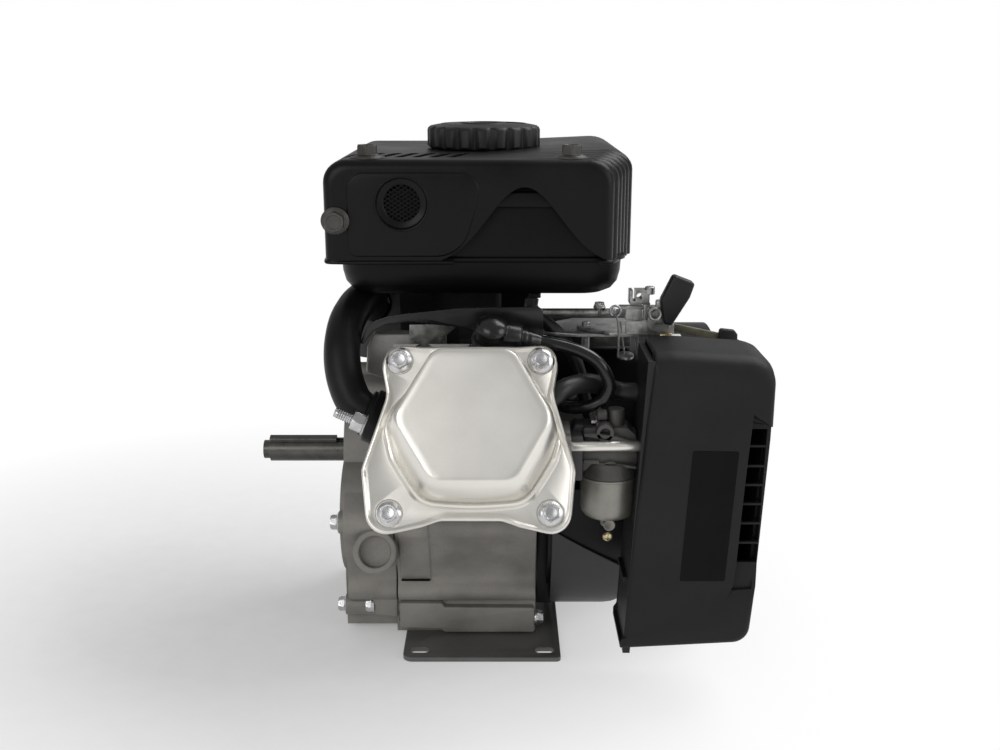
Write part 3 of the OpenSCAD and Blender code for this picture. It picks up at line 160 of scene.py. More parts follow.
# each finish has a cloudy tone from dark to light, fine grain, worn edges and a little relief
finishes = {
    "castAluminium": dict(
        dark=(0.18, 0.171, 0.154), light=(0.28, 0.268, 0.245), metal=0.35, rough=(0.5, 0.66), cloud=35,
        grain=1500, relief=0.00012, edge=(0.42, 0.41, 0.39), wear=0.55, round=0.0009),
    "headAluminium": dict(
        dark=(0.2, 0.195, 0.185), light=(0.33, 0.325, 0.31), metal=0.6, rough=(0.4, 0.6), cloud=45,
        grain=1700, relief=0.0001, edge=(0.5, 0.5, 0.48), wear=0.5, round=0.0006),
    "stampedSteel": dict(
        dark=(0.71, 0.69, 0.64), light=(0.81, 0.79, 0.74), metal=0.9, rough=(0.29, 0.36), cloud=16,
        grain=2600, relief=0.00001, edge=(0.8, 0.79, 0.77), wear=0.15, round=0.0003),
    "zincPlate": dict(
        dark=(0.45, 0.45, 0.46), light=(0.68, 0.68, 0.69), metal=0.95, rough=(0.2, 0.34), cloud=160,
        grain=3000, relief=0.00003, edge=(0.9, 0.9, 0.9), wear=0.4, round=0.0004),
    "yellowZinc": dict(
        dark=(0.24, 0.2, 0.085), light=(0.42, 0.36, 0.19), metal=0.85, rough=(0.28, 0.42), cloud=120,
        grain=2500, relief=0.00003, edge=(0.62, 0.56, 0.36), wear=0.4, round=0.0004),
    "groundSteel": dict(
        dark=(0.075, 0.073, 0.068), light=(0.13, 0.127, 0.12), metal=0.95, rough=(0.24, 0.4), cloud=90,
        grain=3200, relief=0.00003, edge=(0.7, 0.69, 0.66), wear=0.5, round=0.0005),
    "blackCoat": dict(
        dark=(0.002, 0.002, 0.0021), light=(0.004, 0.004, 0.0041), metal=0, rough=(0.3, 0.42), cloud=18,
        grain=950, relief=0.00004, edge=(0.01, 0.01, 0.01), wear=0.2, round=0.0008, shine=0.17),
    "greyCoat": dict(
        dark=(0.018, 0.0178, 0.0172), light=(0.03, 0.0297, 0.0288), metal=0, rough=(0.34, 0.46), cloud=24,
        grain=1500, relief=0.00003, edge=(0.07, 0.07, 0.068), wear=0.2, round=0.0006, shine=0.4),
    "plateSteel": dict(
        dark=(0.11, 0.109, 0.103), light=(0.15, 0.148, 0.14), metal=0.35, rough=(0.3, 0.42), cloud=20,
        grain=1800, relief=0.00002, edge=(0.2, 0.195, 0.185), wear=0.5, round=0.0005),
    "blackPlastic": dict(
        dark=(0.006, 0.006, 0.0065), light=(0.011, 0.011, 0.0115), metal=0, rough=(0.4, 0.52), cloud=26,
        grain=1900, relief=0.00009, edge=(0.035, 0.035, 0.036), wear=0.3, round=0.0007, shine=0.32),
    "glossRubber": dict(
        dark=(0.005, 0.005, 0.005), light=(0.009, 0.009, 0.009), metal=0, rough=(0.16, 0.3), cloud=60,
        grain=1400, relief=0.00002, edge=(0.015, 0.015, 0.015), wear=0.1, round=0.0004, shine=0.45),
    "exhaustBlack": dict(
        dark=(0.003, 0.003, 0.003), light=(0.006, 0.006, 0.0056), metal=0, rough=(0.34, 0.5), cloud=40,
        grain=1500, relief=0.00006, edge=(0.014, 0.014, 0.014), wear=0.2, round=0.0006, shine=0.2),
    "greyPlastic": dict(
        dark=(0.026, 0.026, 0.026), light=(0.042, 0.042, 0.042), metal=0, rough=(0.45, 0.6), cloud=40,
        grain=1800, relief=0.00008, edge=(0.06, 0.06, 0.06), wear=0.2, round=0.0005),
    "carbCasting": dict(
        dark=(0.05, 0.049, 0.046), light=(0.1, 0.098, 0.093), metal=0.45, rough=(0.42, 0.6), cloud=60,
        grain=1700, relief=0.0001, edge=(0.26, 0.255, 0.24), wear=0.5, round=0.0005),
    "bowlZinc": dict(
        dark=(0.21, 0.205, 0.182), light=(0.31, 0.3, 0.27), metal=0.75, rough=(0.34, 0.48), cloud=60,
        grain=2200, relief=0.00004, edge=(0.42, 0.41, 0.38), wear=0.3, round=0.0004),
    "wornZinc": dict(
        dark=(0.16, 0.16, 0.155), light=(0.46, 0.46, 0.45), metal=0.85, rough=(0.26, 0.44), cloud=140,
        grain=2400, relief=0.00005, edge=(0.75, 0.75, 0.74), wear=0.6, round=0.0004),
    "oliveZinc": dict(
        dark=(0.1, 0.095, 0.065), light=(0.2, 0.19, 0.135), metal=0.6, rough=(0.36, 0.5), cloud=120,
        grain=2500, relief=0.00003, edge=(0.34, 0.32, 0.24), wear=0.4, round=0.0004),
    "brass": dict(
        dark=(0.42, 0.35, 0.2), light=(0.66, 0.58, 0.36), metal=0.95, rough=(0.22, 0.36), cloud=160,
        grain=2600, relief=0.00003, edge=(0.85, 0.78, 0.55), wear=0.4, round=0.0003),
    "cleanerPlastic": dict(
        dark=(0.007, 0.0073, 0.0076), light=(0.012, 0.0123, 0.0128), metal=0, rough=(0.46, 0.56),
        cloud=22, grain=2200, relief=0.00007, edge=(0.02, 0.02, 0.0205), wear=0.2, round=0.0005,
        shine=0.2),
    "labelBlack": dict(
        dark=(0.0015, 0.0015, 0.0015), light=(0.003, 0.003, 0.003), metal=0, rough=(0.22, 0.32), cloud=40,
        grain=2200, relief=0.00001, edge=(0.006, 0.006, 0.006), wear=0.1, round=0.0003, shine=0.1),
    "blackRubber": dict(
        dark=(0.008, 0.008, 0.008), light=(0.017, 0.017, 0.017), metal=0, rough=(0.3, 0.46), cloud=60,
        grain=1400, relief=0.00006, edge=(0.03, 0.03, 0.03), wear=0.2, round=0.0004, shine=0.4),
    "tankBody": dict(
        dark=(0.0015, 0.0015, 0.0016), light=(0.003, 0.003, 0.0031), metal=0, rough=(0.3, 0.46), cloud=14,
        grain=900, relief=0.00006, edge=(0.02, 0.02, 0.02), wear=0.25, round=0.0012, shine=0.15),
    "darkSteel": dict(
        dark=(0.035, 0.034, 0.032), light=(0.075, 0.073, 0.07), metal=0.6, rough=(0.36, 0.55), cloud=40,
        grain=1600, relief=0.00007, edge=(0.22, 0.21, 0.2), wear=0.6, round=0.0006),
    "sootySteel": dict(
        dark=(0.012, 0.011, 0.011), light=(0.034, 0.032, 0.03), metal=0.35, rough=(0.42, 0.62), cloud=50,
        grain=1500, relief=0.0001, edge=(0.1, 0.095, 0.09), wear=0.4, round=0.0006),
    "muffler": dict(
        dark=(0.012, 0.0115, 0.011), light=(0.024, 0.023, 0.022), metal=0.2, rough=(0.38, 0.58), cloud=35,
        grain=1300, relief=0.0001, edge=(0.05, 0.048, 0.045), wear=0.4, round=0.001),
    "foam": dict(
        dark=(0.05, 0.045, 0.035), light=(0.13, 0.12, 0.1), metal=0, rough=(0.85, 0.95), cloud=220,
        grain=900, relief=0.0009, edge=(0.15, 0.14, 0.12), wear=0.2, round=0.0005),
    "paper": dict(
        dark=(0.16, 0.15, 0.13), light=(0.24, 0.225, 0.2), metal=0, rough=(0.75, 0.9), cloud=300,
        grain=2500, relief=0.0001, edge=(0.28, 0.27, 0.24), wear=0.2, round=0.0003),
    "porcelain": dict(
        dark=(0.74, 0.73, 0.7), light=(0.84, 0.83, 0.8), metal=0, rough=(0.1, 0.2), cloud=60, grain=1500,
        relief=0.00001, edge=(0.88, 0.87, 0.85), wear=0.2, round=0.0005),
}


def makeFinish(name, dark, light, metal, rough, cloud, grain, relief, edge, wear, round, shine=0.5):
    made, start = startMaterial(name)
    place = start.add("ShaderNodeTexCoord", out=3)
    clouds = start.add("ShaderNodeTexNoise", None,
                       {"Vector": place, "Scale": cloud, "Detail": 5.0, "Roughness": 0.6})
    grains = start.add("ShaderNodeTexNoise", None,
                       {"Vector": place, "Scale": grain, "Detail": 3.0, "Roughness": 0.7})
    softened = start.add("ShaderNodeBevel", {"samples": 4}, {"Radius": round})
    plain = start.add("ShaderNodeNewGeometry", out=1)
    facing = start.add("ShaderNodeVectorMath", {"operation": "DOT_PRODUCT"}, {0: softened, 1: plain}, out=1)
    worn = (1 - facing).ramp((0.03, 0), (0.25, 1)) * (clouds.ramp((0.35, 0.3), (0.65, 1)) * wear)
    tone = (clouds * 0.65 + grains * 0.35).ramp((0.38, 0), (0.64, 1))
    base = worn.blendColour(tone.blendColour((*dark, 1), (*light, 1)), (*edge, 1))
    roughness = clouds.ramp((0.36, 0), (0.66, 1)) * (rough[1] - rough[0]) + grains * 0.06 + (rough[0] - 0.03)
    raised = start.add("ShaderNodeBump", None,
                       {"Strength": 1.0, "Distance": relief, "Height": grains, "Normal": softened})
    shader = start.add("ShaderNodeBsdfPrincipled", None, {
        "Base Color": base, "Metallic": float(metal), "Roughness": roughness, "Normal": raised,
        "Specular IOR Level": shine})
    start.add("ShaderNodeOutputMaterial", None, {"Surface": shader})
    return made


shades = {name: makeFinish(name, **values) for name, values in finishes.items()}
print("finishes are made")

nodeFinish = {
    "castAluminium": ["crankcase", "side_cover"],
    "headAluminium": ["cylinder_head", "cylinder_liner", "piston", "connecting_rod", "rod_cap", "flywheel",
                      "carburettor_body", "insulator"],
    "stampedSteel": ["rocker_cover"],
    "zincPlate": ["rocker_cover_bolts", "case_bolts", "port_studs", "control_plate", "throttle_shaft",
                  "governor_arm", "float_bowl", "starter_cup", "spark_plug", "vent_mesh"],
    "yellowZinc": ["choke_lever"],
    "groundSteel": ["crankshaft", "shaft_key", "main_bearings", "camshaft", "intake_valve", "exhaust_valve",
                    "intake_rocker", "exhaust_rocker", "intake_pushrod", "exhaust_pushrod", "rocker_shaft",
                    "valve_springs"],
    "blackCoat": ["tank_cover", "blower_housing", "recoil_housing", "cylinder_shroud", "tank_bracket"],
    "blackPlastic": ["fuel_cap", "air_cleaner_cover", "air_cleaner_base", "starter_handle", "dipstick",
                     "cooling_fan", "recoil_pulley", "throttle_lever", "ignition_coil"],
    "blackRubber": ["plug_boot", "ignition_lead", "hoses", "oil_seals"],
    "tankBody": ["fuel_tank"],
    "darkSteel": ["mounting_plate", "head_bolts", "tank_bolts"],
    "sootySteel": ["exhaust_elbow"],
    "muffler": ["muffler"],
    "foam": ["filter_element"],
    "paper": ["gaskets"],
}


def paint(piece, finish):
    piece.data.materials.clear()
    piece.data.materials.append(shades[finish])


for finishName, members in nodeFinish.items():
    for member in members:
        paint(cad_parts[member], finishName)
bare = sorted(set(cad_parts) - {n for members in nodeFinish.values() for n in members})
print("nodes without a finish:", bare)


# ways of working: a piece is modelled in millimetres on a bench, then settled on the engine
def selectOnly(*pieces):
    bpy.ops.object.select_all(action="DESELECT")
    for piece in pieces:
        piece.select_set(True)
    bpy.context.view_layer.objects.active = pieces[0]


def takeMade(name):
    made = bpy.context.object
    made.name = made.data.name = name
    return made


def closeUp(piece):
    # doubles are merged and the faces turned outwards
    selectOnly(piece)
    bpy.ops.object.mode_set(mode="EDIT")
    bpy.ops.mesh.select_all(action="SELECT")
    bpy.ops.mesh.remove_doubles(threshold=0.001)
    bpy.ops.mesh.normals_make_consistent(inside=False)
    bpy.ops.object.mode_set(mode="OBJECT")


def finishModifiers(piece):
    selectOnly(piece)
    for modifier in list(piece.modifiers):
        bpy.ops.object.modifier_apply(modifier=modifier.name)


def ringStack(name, rings):
    # a circle is extruded ring by ring, and each new ring is moved to its own outline
    bpy.ops.object.select_all(action="DESELECT")
    bpy.ops.mesh.primitive_circle_add(vertices=len(rings[0]), radius=1, fill_type="NGON")
    made = takeMade(name)
    for vertex, point in zip(made.data.vertices, rings[0]):
        vertex.co = point
    bpy.ops.object.mode_set(mode="EDIT")
    bpy.ops.mesh.select_all(action="SELECT")
    for before, after in zip(rings, rings[1:]):
        bpy.ops.mesh.extrude_region_move()
        shape = bmesh.from_edit_mesh(made.data)
        found = KDTree(len(before))
        for i, point in enumerate(before):
            found.insert(point, i)
        found.balance()
        for vertex in [v for v in shape.verts if v.select]:
            vertex.co = after[found.find(vertex.co)[1]]
        bmesh.update_edit_mesh(made.data)
    bpy.ops.object.mode_set(mode="OBJECT")
    closeUp(made)
    return made


def turned(name, profile, sides=48):
    # a lathe: profile is (radius, height) pairs, or (outline function, height)
    def ring(reach, height):
        angles = [2 * math.pi * i / sides for i in range(sides)]
        far = [reach(a) if callable(reach) else reach for a in angles]
        return [(r * math.cos(a), r * math.sin(a), height) for r, a in zip(far, angles)]
    return ringStack(name, [ring(reach, height) for reach, height in profile])


def roundCorners(corners, steps=6):
    # (x, y, radius) corners become points, each corner an arc
    outline = []
    for i, (x, y, radius) in enumerate(corners):
        corner = Vector((x, y))
        back = (Vector(corners[i - 1][:2]) - corner).normalized()
        ahead = (Vector(corners[(i + 1) % len(corners)][:2]) - corner).normalized()
        if radius == 0:
            outline.append((x, y))
            continue
        half = back.angle(ahead) / 2
        middle = corner + (back + ahead).normalized() * radius / math.sin(half)
        first = corner + back * radius / math.tan(half) - middle
        last = corner + ahead * radius / math.tan(half) - middle
        turn = math.atan2(first.x * last.y - first.y * last.x, first.dot(last))
        for step in range(steps + 1):
            spot = middle + Matrix.Rotation(turn * step / steps, 2) @ first
            outline.append((spot.x, spot.y))
    return outline


def arcPoints(x, y, radius, angles):
    # points round (x, y), at angles in degrees
    return [(x + radius * math.cos(math.radians(a)), y + radius * math.sin(math.radians(a))) for a in angles]


def fourCorners(left, front, right, back, radius):
    return [(left, front, radius), (right, front, radius), (right, back, radius), (left, back, radius)]


def circle(x, y, radius, sides=32):
    return [(x + radius * math.cos(2 * math.pi * i / sides), y + radius * math.sin(2 * math.pi * i / sides))
            for i in range(sides)]


def cutPlate(name, outlines, thick, rim=0.0):
    # a flat curve with its holes, given a thickness and rounded rims, then made a mesh from z 0 up
    flat = bpy.data.curves.new(name, "CURVE")
    flat.dimensions = "2D"
    flat.fill_mode = "BOTH"
    flat.extrude = thick / 2 - rim
    flat.bevel_depth = rim
    flat.bevel_resolution = 2
    flat.offset = -rim
    for outline in outlines:
        line = flat.splines.new("POLY")
        line.points.add(len(outline) - 1)
        for point, (x, y) in zip(line.points, outline):
            point.co = (x, y, 0, 1)
        line.use_cyclic_u = True
    made = bpy.data.objects.new(name, flat)
    bpy.context.scene.collection.objects.link(made)
    selectOnly(made)
    bpy.ops.object.convert(target="MESH")
    made = takeMade(name)
    made.data.transform(Matrix.Translation((0, 0, thick / 2)))
    closeUp(made)
    return made


def addTube(name, points, radius, sides=6, kind="NURBS"):
    # a round bar or hose along a smooth line through the points
    line = bpy.data.curves.new(name, "CURVE")
    line.dimensions = "3D"
    line.bevel_depth = radius
    line.bevel_resolution = sides
    line.use_fill_caps = True
    run = line.splines.new(kind)
    run.points.add(len(points) - 1)
    for point, place in zip(run.points, points):
        point.co = (*place, 1)
    if kind == "NURBS":
        run.use_endpoint_u = True
        run.order_u = 3
        run.resolution_u = 6
    made = bpy.data.objects.new(name, line)
    bpy.context.scene.collection.objects.link(made)
    selectOnly(made)
    bpy.ops.object.convert(target="MESH")
    made = takeMade(name)
    closeUp(made)
    return made


def carve(piece, *tools, way="DIFFERENCE"):
    # the tools are cut out of the piece, or added or kept in common, and removed
    for tool in tools:
        cut = piece.modifiers.new("cut", "BOOLEAN")
        cut.operation = way
        cut.solver = "MANIFOLD"
        cut.object = tool
        finishModifiers(piece)
        bpy.data.objects.remove(tool)
    return piece


def weld(name, *pieces):
    selectOnly(*pieces)
    bpy.ops.object.join()
    return takeMade(name)


def copies(model, places):
    # one copy at each place, each with its own mesh; the model itself goes
    made = []
    for place in places:
        twin = model.copy()
        twin.data = model.data.copy()
        bpy.context.scene.collection.objects.link(twin)
        twin.data.transform(place)
        made.append(twin)
    bpy.data.objects.remove(model)
    return made


def softenEdges(piece, width, segments=2, angle=35):
    bevel = piece.modifiers.new("bevel", "BEVEL")
    bevel.width = width
    bevel.segments = segments
    bevel.limit_method = "ANGLE"
    bevel.angle_limit = math.radians(angle)
    finishModifiers(piece)


def settle(piece, place, finish, body, *nodes, smooth=40):
    # from the bench to its place on the engine
    piece.data.transform(place @ Matrix.Scale(mm, 4))
    selectOnly(piece)
    bpy.ops.object.shade_smooth_by_angle(angle=math.radians(smooth))
    paint(piece, finish)
    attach(piece, body)
    if nodes:
        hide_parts(*nodes)
    return piece


def at(x, y, z, turnX=0, turnY=0, turnZ=0):
    # a place on the bench, in millimetres and degrees
    turn = Matrix.Rotation(math.radians(turnZ), 4, "Z") @ Matrix.Rotation(math.radians(turnY), 4, "Y") \
        @ Matrix.Rotation(math.radians(turnX), 4, "X")
    return Matrix.Translation((x, y, z)) @ turn


here = at(0, 0, 0)

engine = {"crankY": 19, "crankZ": 105, "boreX": -4.5, "tilt": 25, "coverHeight": 172.3}


def onBore(x, w, u, turnZ=0):
    # u runs along the cylinder, w across it and up, x along the crankshaft
    start = Matrix.Translation((engine["boreX"] * mm, engine["crankY"] * mm, engine["crankZ"] * mm))
    lean = Matrix.Rotation(math.radians(90 - engine["tilt"]), 4, "X")
    spot = Matrix.Translation((x * mm, w * mm, u * mm)) @ Matrix.Rotation(math.radians(turnZ), 4, "Z")
    return start @ lean @ spot


def onFrame(x, y, z, turnX=0, turnY=0, turnZ=0):
    spot = at(x, y, z, turnX, turnY, turnZ)
    spot.translation *= mm
    return spot


def flangeBolt(name, across, flange, height, shank, shankRadius=3.0):
    # a hexagon bolt with a washer face, a chamfered head and a dished top
    def hexagon(reach):
        return lambda a: reach / math.cos((a + math.pi / 6) % (math.pi / 3) - math.pi / 6)

    def rounded(reach, limit):
        return lambda a: min(hexagon(reach)(a), limit)
    half = across / 2
    return turned(name, [
        (shankRadius - 0.4, -shank), (shankRadius, -shank + 0.5), (shankRadius, 0), (flange - 0.2, 0),
        (flange, 0.3), (flange, 0.9), (flange - 0.5, 1.3), (half * 1.2, 1.8), (hexagon(half), 2.1),
        (hexagon(half), height - 1.1), (rounded(half, half * 1.09), height - 0.5),
        (rounded(half, half * 1.02), height), (half * 0.82, height), (half * 0.72, height - 0.6),
        (half * 0.3, height - 0.9)], sides=48)


# the valve cover: one pressed sheet, a hexagonal dome over a lobed flange
coverShape = {
    "bolts": [(-37.7, 28), (37.7, 28), (-42.2, -53), (42.2, -53)],
    "middle": (1.5, -6),
    "flange": [(-49.5, 37.5, 11.5), (-27, 35.5, 10), (27, 35.5, 10), (49, 37.5, 11.5), (44, 9.6, 16),
               (55.5, -30, 9), (52, -66, 11), (26, -60, 14), (17, -56.8, 11), (-16, -56.8, 11),
               (-25, -60, 14), (-53, -66, 11), (-57, -30, 9), (-44, 9.6, 16)],
    "dome": [(-18.5, 30, 9), (22.5, 30, 9), (43, -5.5, 11), (23.5, -38.5, 10), (-19.5, -38.5, 10),
             (-39.5, -5.5, 11)],
    "height": 23,
    "sheet": 1.1,
    "points": 216,
}


def reachOf(outline, middle, angle):
    # how far the outline lies from the middle in that direction
    ahead = Vector((math.cos(angle), math.sin(angle)))
    best = 0.0
    for i, corner in enumerate(outline):
        first = Vector(outline[i - 1]) - Vector(middle)
        side = Vector(corner) - Vector(outline[i - 1])
        across = ahead.x * side.y - ahead.y * side.x
        if abs(across) > 1e-9:
            far = (first.x * side.y - first.y * side.x) / across
            along = (first.x * ahead.y - first.y * ahead.x) / across
            if far > 0 and -1e-6 <= along <= 1 + 1e-6:
                best = max(best, far)
    return best


def pressCover():
    middle = coverShape["middle"]
    top = coverShape["height"]
    flange = roundCorners(coverShape["flange"])
    dome = roundCorners(coverShape["dome"])
    angles = [-math.pi + 2 * math.pi * (i + 0.5) / coverShape["points"] for i in range(coverShape["points"])]
    edge = [reachOf(flange, middle, a) for a in angles]
    face = [reachOf(dome, middle, a) for a in angles]
    low = [min(1, max(0, 0.5 - 1.2 * math.sin(a))) for a in angles]  # 1 round the lower half, 0 above

    def ring(reach, height):
        return [(middle[0] + r * math.cos(a), middle[1] + r * math.sin(a), h)
                for r, a, h in zip(reach, angles, height)]

    def near(outset, height):
        # round the dome, with the flange's edge as its limit
        outsets = [outset(k) if callable(outset) else outset for k in low]
        reach = [min(f + out, e - 4.2) for f, e, out in zip(face, edge, outsets)]
        return ring(reach, [height(k) if callable(height) else height for k in low])

    rings = [ring([e + out for e in edge], [height] * len(edge))
             for out, height in [(-0.4, -1.6), (0.1, -0.8), (0.3, 0.4), (0, 1.5), (-0.8, 2.2), (-1.7, 2.3),
                                 (-2.6, 1.9), (-3.4, 1.4), (-4.1, 1.2)]]
    rings += [near(lambda k: 4 + 9.6 * k, 1.2), near(lambda k: 3.6 + 9.2 * k, 1.7),
              near(lambda k: 3.3 + 8.5 * k, lambda k: 1.9 + 1.4 * k),
              near(lambda k: 3.1 + 7.5 * k, lambda k: 2.2 + 1.6 * k),
              near(lambda k: 2.9 + 7.2 * k, lambda k: 2.6 + 1.1 * k), near(lambda k: 2.7 + 6.8 * k, 3),
              near(lambda k: 2.5 + 6.5 * k, 4.4), near(lambda k: 2 + 6.2 * k, 9),
              near(lambda k: 1.6 + 4.6 * k, 14), near(lambda k: 1.1 + 2.6 * k, top - 4),
              near(lambda k: 0.8 + 1.2 * k, top - 2.2), near(0.3, top - 0.9), near(-0.8, top - 0.2),
              near(-2.2, top), near(-4.5, top)]
    for share in (0.6, 0.3, 0.06):
        rings.append(ring([(f - 4.5) * share for f in face], [top] * len(face)))
    cover = ringStack("valveCover", rings)
    selectOnly(cover)
    bpy.ops.object.mode_set(mode="EDIT")
    bpy.ops.mesh.select_all(action="DESELECT")
    shape = bmesh.from_edit_mesh(cover.data)
    for under in shape.faces:
        under.select = under.calc_center_median().z < -1.5 and under.normal.z < -0.9
    bmesh.update_edit_mesh(cover.data)
    bpy.ops.mesh.delete(type="FACE")
    bpy.ops.object.mode_set(mode="OBJECT")
    wall = cover.modifiers.new("wall", "SOLIDIFY")
    wall.thickness = coverShape["sheet"]
    wall.offset = -1
    finishModifiers(cover)
    for x, w in coverShape["bolts"]:
        seat = turned("seat", [(3.3, -8), (3.3, 0.75), (6.9, 0.75), (7.3, 1.1), (7.3, 6)], sides=40)
        seat.data.transform(Matrix.Translation((x, w, 0)))
        carve(cover, seat)
    settle(cover, onBore(0, 0, engine["coverHeight"]), "stampedSteel", "engine_block", "rocker_cover",
           smooth=32)
    bolt = flangeBolt("coverBolt", 8.5, 6.4, 6.2, 14)
    made = copies(bolt, [Matrix.Translation((x, w, 0.8)) for x, w in coverShape["bolts"]])
    bolts = weld("valveCoverBolts", *made)
    settle(bolts, onBore(0, 0, engine["coverHeight"]), "zincPlate", "engine_block", "rocker_cover_bolts")


pressCover()
print("valve cover is pressed and bolted")


# the fuel tank: a pressed body under a black cover with a bell-shaped window, a vent, bolts and a cap
tankShape = {
    "left": -83, "right": 71.5, "front": -80.4, "back": 103.5, "top": 306, "bottom": 248,
    "corner": 13,       # radius of the cover's shoulders
    "edge": 5.5,        # radius round the front face
    "ribs": 5,
    "ribPitch": 7.5,
    "ribStep": 2.5,
    "sheet": 1.6,
    "wide": 1.053, "bellMiddle": 23.7, "bellHeight": 44, "bellWidth": 27.5,
    "vent": (-43.5, 282), "ventRadius": 15.5, "mouthRadius": 10.8, "wirePitch": 2.05,
    "topBolts": [(-60, -66), (49, -66)],
}


wider = Matrix.Diagonal((tankShape["wide"], 1, 1, 1))


def coverSection(y, inset, spread):
    # one section across the cover; spread pushes the right-hand side out
    left, right = tankShape["left"] + inset, tankShape["right"] - inset
    top, bottom = tankShape["top"] - inset, tankShape["bottom"]
    corner = tankShape["corner"] - inset * 0.5
    outline = roundCorners([(left, bottom, 0), (right, bottom, 0), (right, bottom + 14, 0),
                            (right, top, corner), (0, top, 0), (left, top, corner), (left, bottom + 14, 0)],
                           steps=9)
    middle = (left + right) / 2
    points = []
    for x, z in outline:
        share = max(0, (x - middle) / (right - middle)) ** 2
        points.append((x + spread * share, y, z + spread * 0.35 * share * (z > bottom + 20)))
    return points


def pressTankCover():
    shape = tankShape
    edge = shape["edge"]
    rings = []
    for step in range(7):
        turn = math.pi / 2 * step / 6
        rings.append(coverSection(shape["front"] + edge * (1 - math.sin(turn)), edge * (1 - math.cos(turn)),
                                  0))
    rings.append(coverSection(shape["front"], edge * 3, 0))
    rings.reverse()
    y = shape["front"] + edge + 1
    for rib in range(shape["ribs"]):
        base = shape["ribStep"] * rib
        for along, out in [(0, 0), (0.8, 0.9), (2.2, 1.9), (4, 2.4), (5.6, 2.3), (6.6, 2.0)]:
            rings.append(coverSection(y + along, 0, base + out * shape["ribStep"] / 2.4 * 1.15))
        y += shape["ribPitch"]
    wide = shape["ribStep"] * shape["ribs"]
    rings.append(coverSection(y + 2, 0, wide + 0.6))
    rings.append(coverSection(shape["back"] - 12, 0, wide + 0.8))
    for step in range(7):
        turn = math.pi / 2 * step / 6
        rings.append(coverSection(shape["back"] - 12 * (1 - math.sin(turn)), 12 * (1 - math.cos(turn)),
                                  wide + 0.8))
    cover = ringStack("tankCover", rings)
    selectOnly(cover)
    bpy.ops.object.mode_set(mode="EDIT")
    bpy.ops.mesh.select_all(action="DESELECT")
    inside = bmesh.from_edit_mesh(cover.data)
    for face in inside.faces:
        face.select = all(abs(v.co.z - shape["bottom"]) < 0.01 for v in face.verts)
    bmesh.update_edit_mesh(cover.data)
    bpy.ops.mesh.delete(type="FACE")
    bpy.ops.mesh.select_all(action="DESELECT")
    bpy.ops.object.mode_set(mode="OBJECT")
    wall = cover.modifiers.new("wall", "SOLIDIFY")
    wall.thickness = shape["sheet"]
    wall.offset = -1
    finishModifiers(cover)
    # the bell-shaped window, the vent's hole, the filler's hole and the slots are cut
    xs = [shape["bellMiddle"] - 44 + 2 * i for i in range(45)]
    bell = [(x, shape["bottom"] - 1 + shape["bellHeight"]
             * math.exp(-((x - shape["bellMiddle"]) / shape["bellWidth"]) ** 2)) for x in xs]
    bell = [(xs[0], shape["bottom"] - 6)] + bell + [(xs[-1], shape["bottom"] - 6)]
    window = cutPlate("window", [bell], 14)
    window.data.transform(at(0, shape["front"] + 5, 0, turnX=90))
    ventX, ventZ = shape["vent"][0] / shape["wide"], shape["vent"][1]
    hole = turned("hole", [(shape["ventRadius"] - 1.2, -6), (shape["ventRadius"] - 1.2, 6)])
    hole.data.transform(at(ventX, shape["front"], ventZ, turnX=90))
    filler = turned("filler", [(25, -10), (25, 10)])
    filler.data.transform(at(1, 20, shape["top"]))
    slots = []
    for i in range(7):
        slot = cutPlate("slot", [roundCorners(fourCorners(-2.5, -17, 2.5, 17, 2.4))], 8)
        slot.data.transform(at(-69 + 9.5 * i, -45, shape["top"] - 5, turnZ=-14))
        slots.append(slot)
    carve(cover, window, hole, filler, *slots)
    # the raised panel round the vent
    panel = cutPlate("panel", [roundCorners([(-70, 252.5, 5), (-10, 252.5, 18), (-3, 276, 20), (2, 299, 10),
                                             (-70, 299, 9)])], 1.6, 0.75)
    panel.data.transform(at(0, shape["front"] + 0.7, 0, turnX=90))
    hollow = turned("hollow", [(shape["ventRadius"] - 1.2, -6), (shape["ventRadius"] - 1.2, 6)])
    hollow.data.transform(at(ventX, shape["front"], ventZ, turnX=90))
    carve(panel, hollow)
    # the rolled hem along the lower edge
    hem = addTube("hem",
                  [(-14, 0.2, 0), (-60, 0, 0), (-80, 0.5, 0), (-83.6, 4, 0), (-83.8, 40, 0),
                   (-83.8, 95, 0)], 1.1)
    hem.data.transform(Matrix.Translation((0, shape["front"] - 0.2, shape["bottom"] + 1)))
    hem2 = addTube("hem2", [(63, 0.2, 0), (68, 0.3, 0), (72, 3, 0), (75, 14, 0)], 1.1)
    hem2.data.transform(Matrix.Translation((0, shape["front"] - 0.2, shape["bottom"] + 1)))
    cover = weld("tankCover", cover, panel, hem, hem2)
    settle(cover, wider, "blackCoat", "engine_block", "tank_cover", smooth=38)


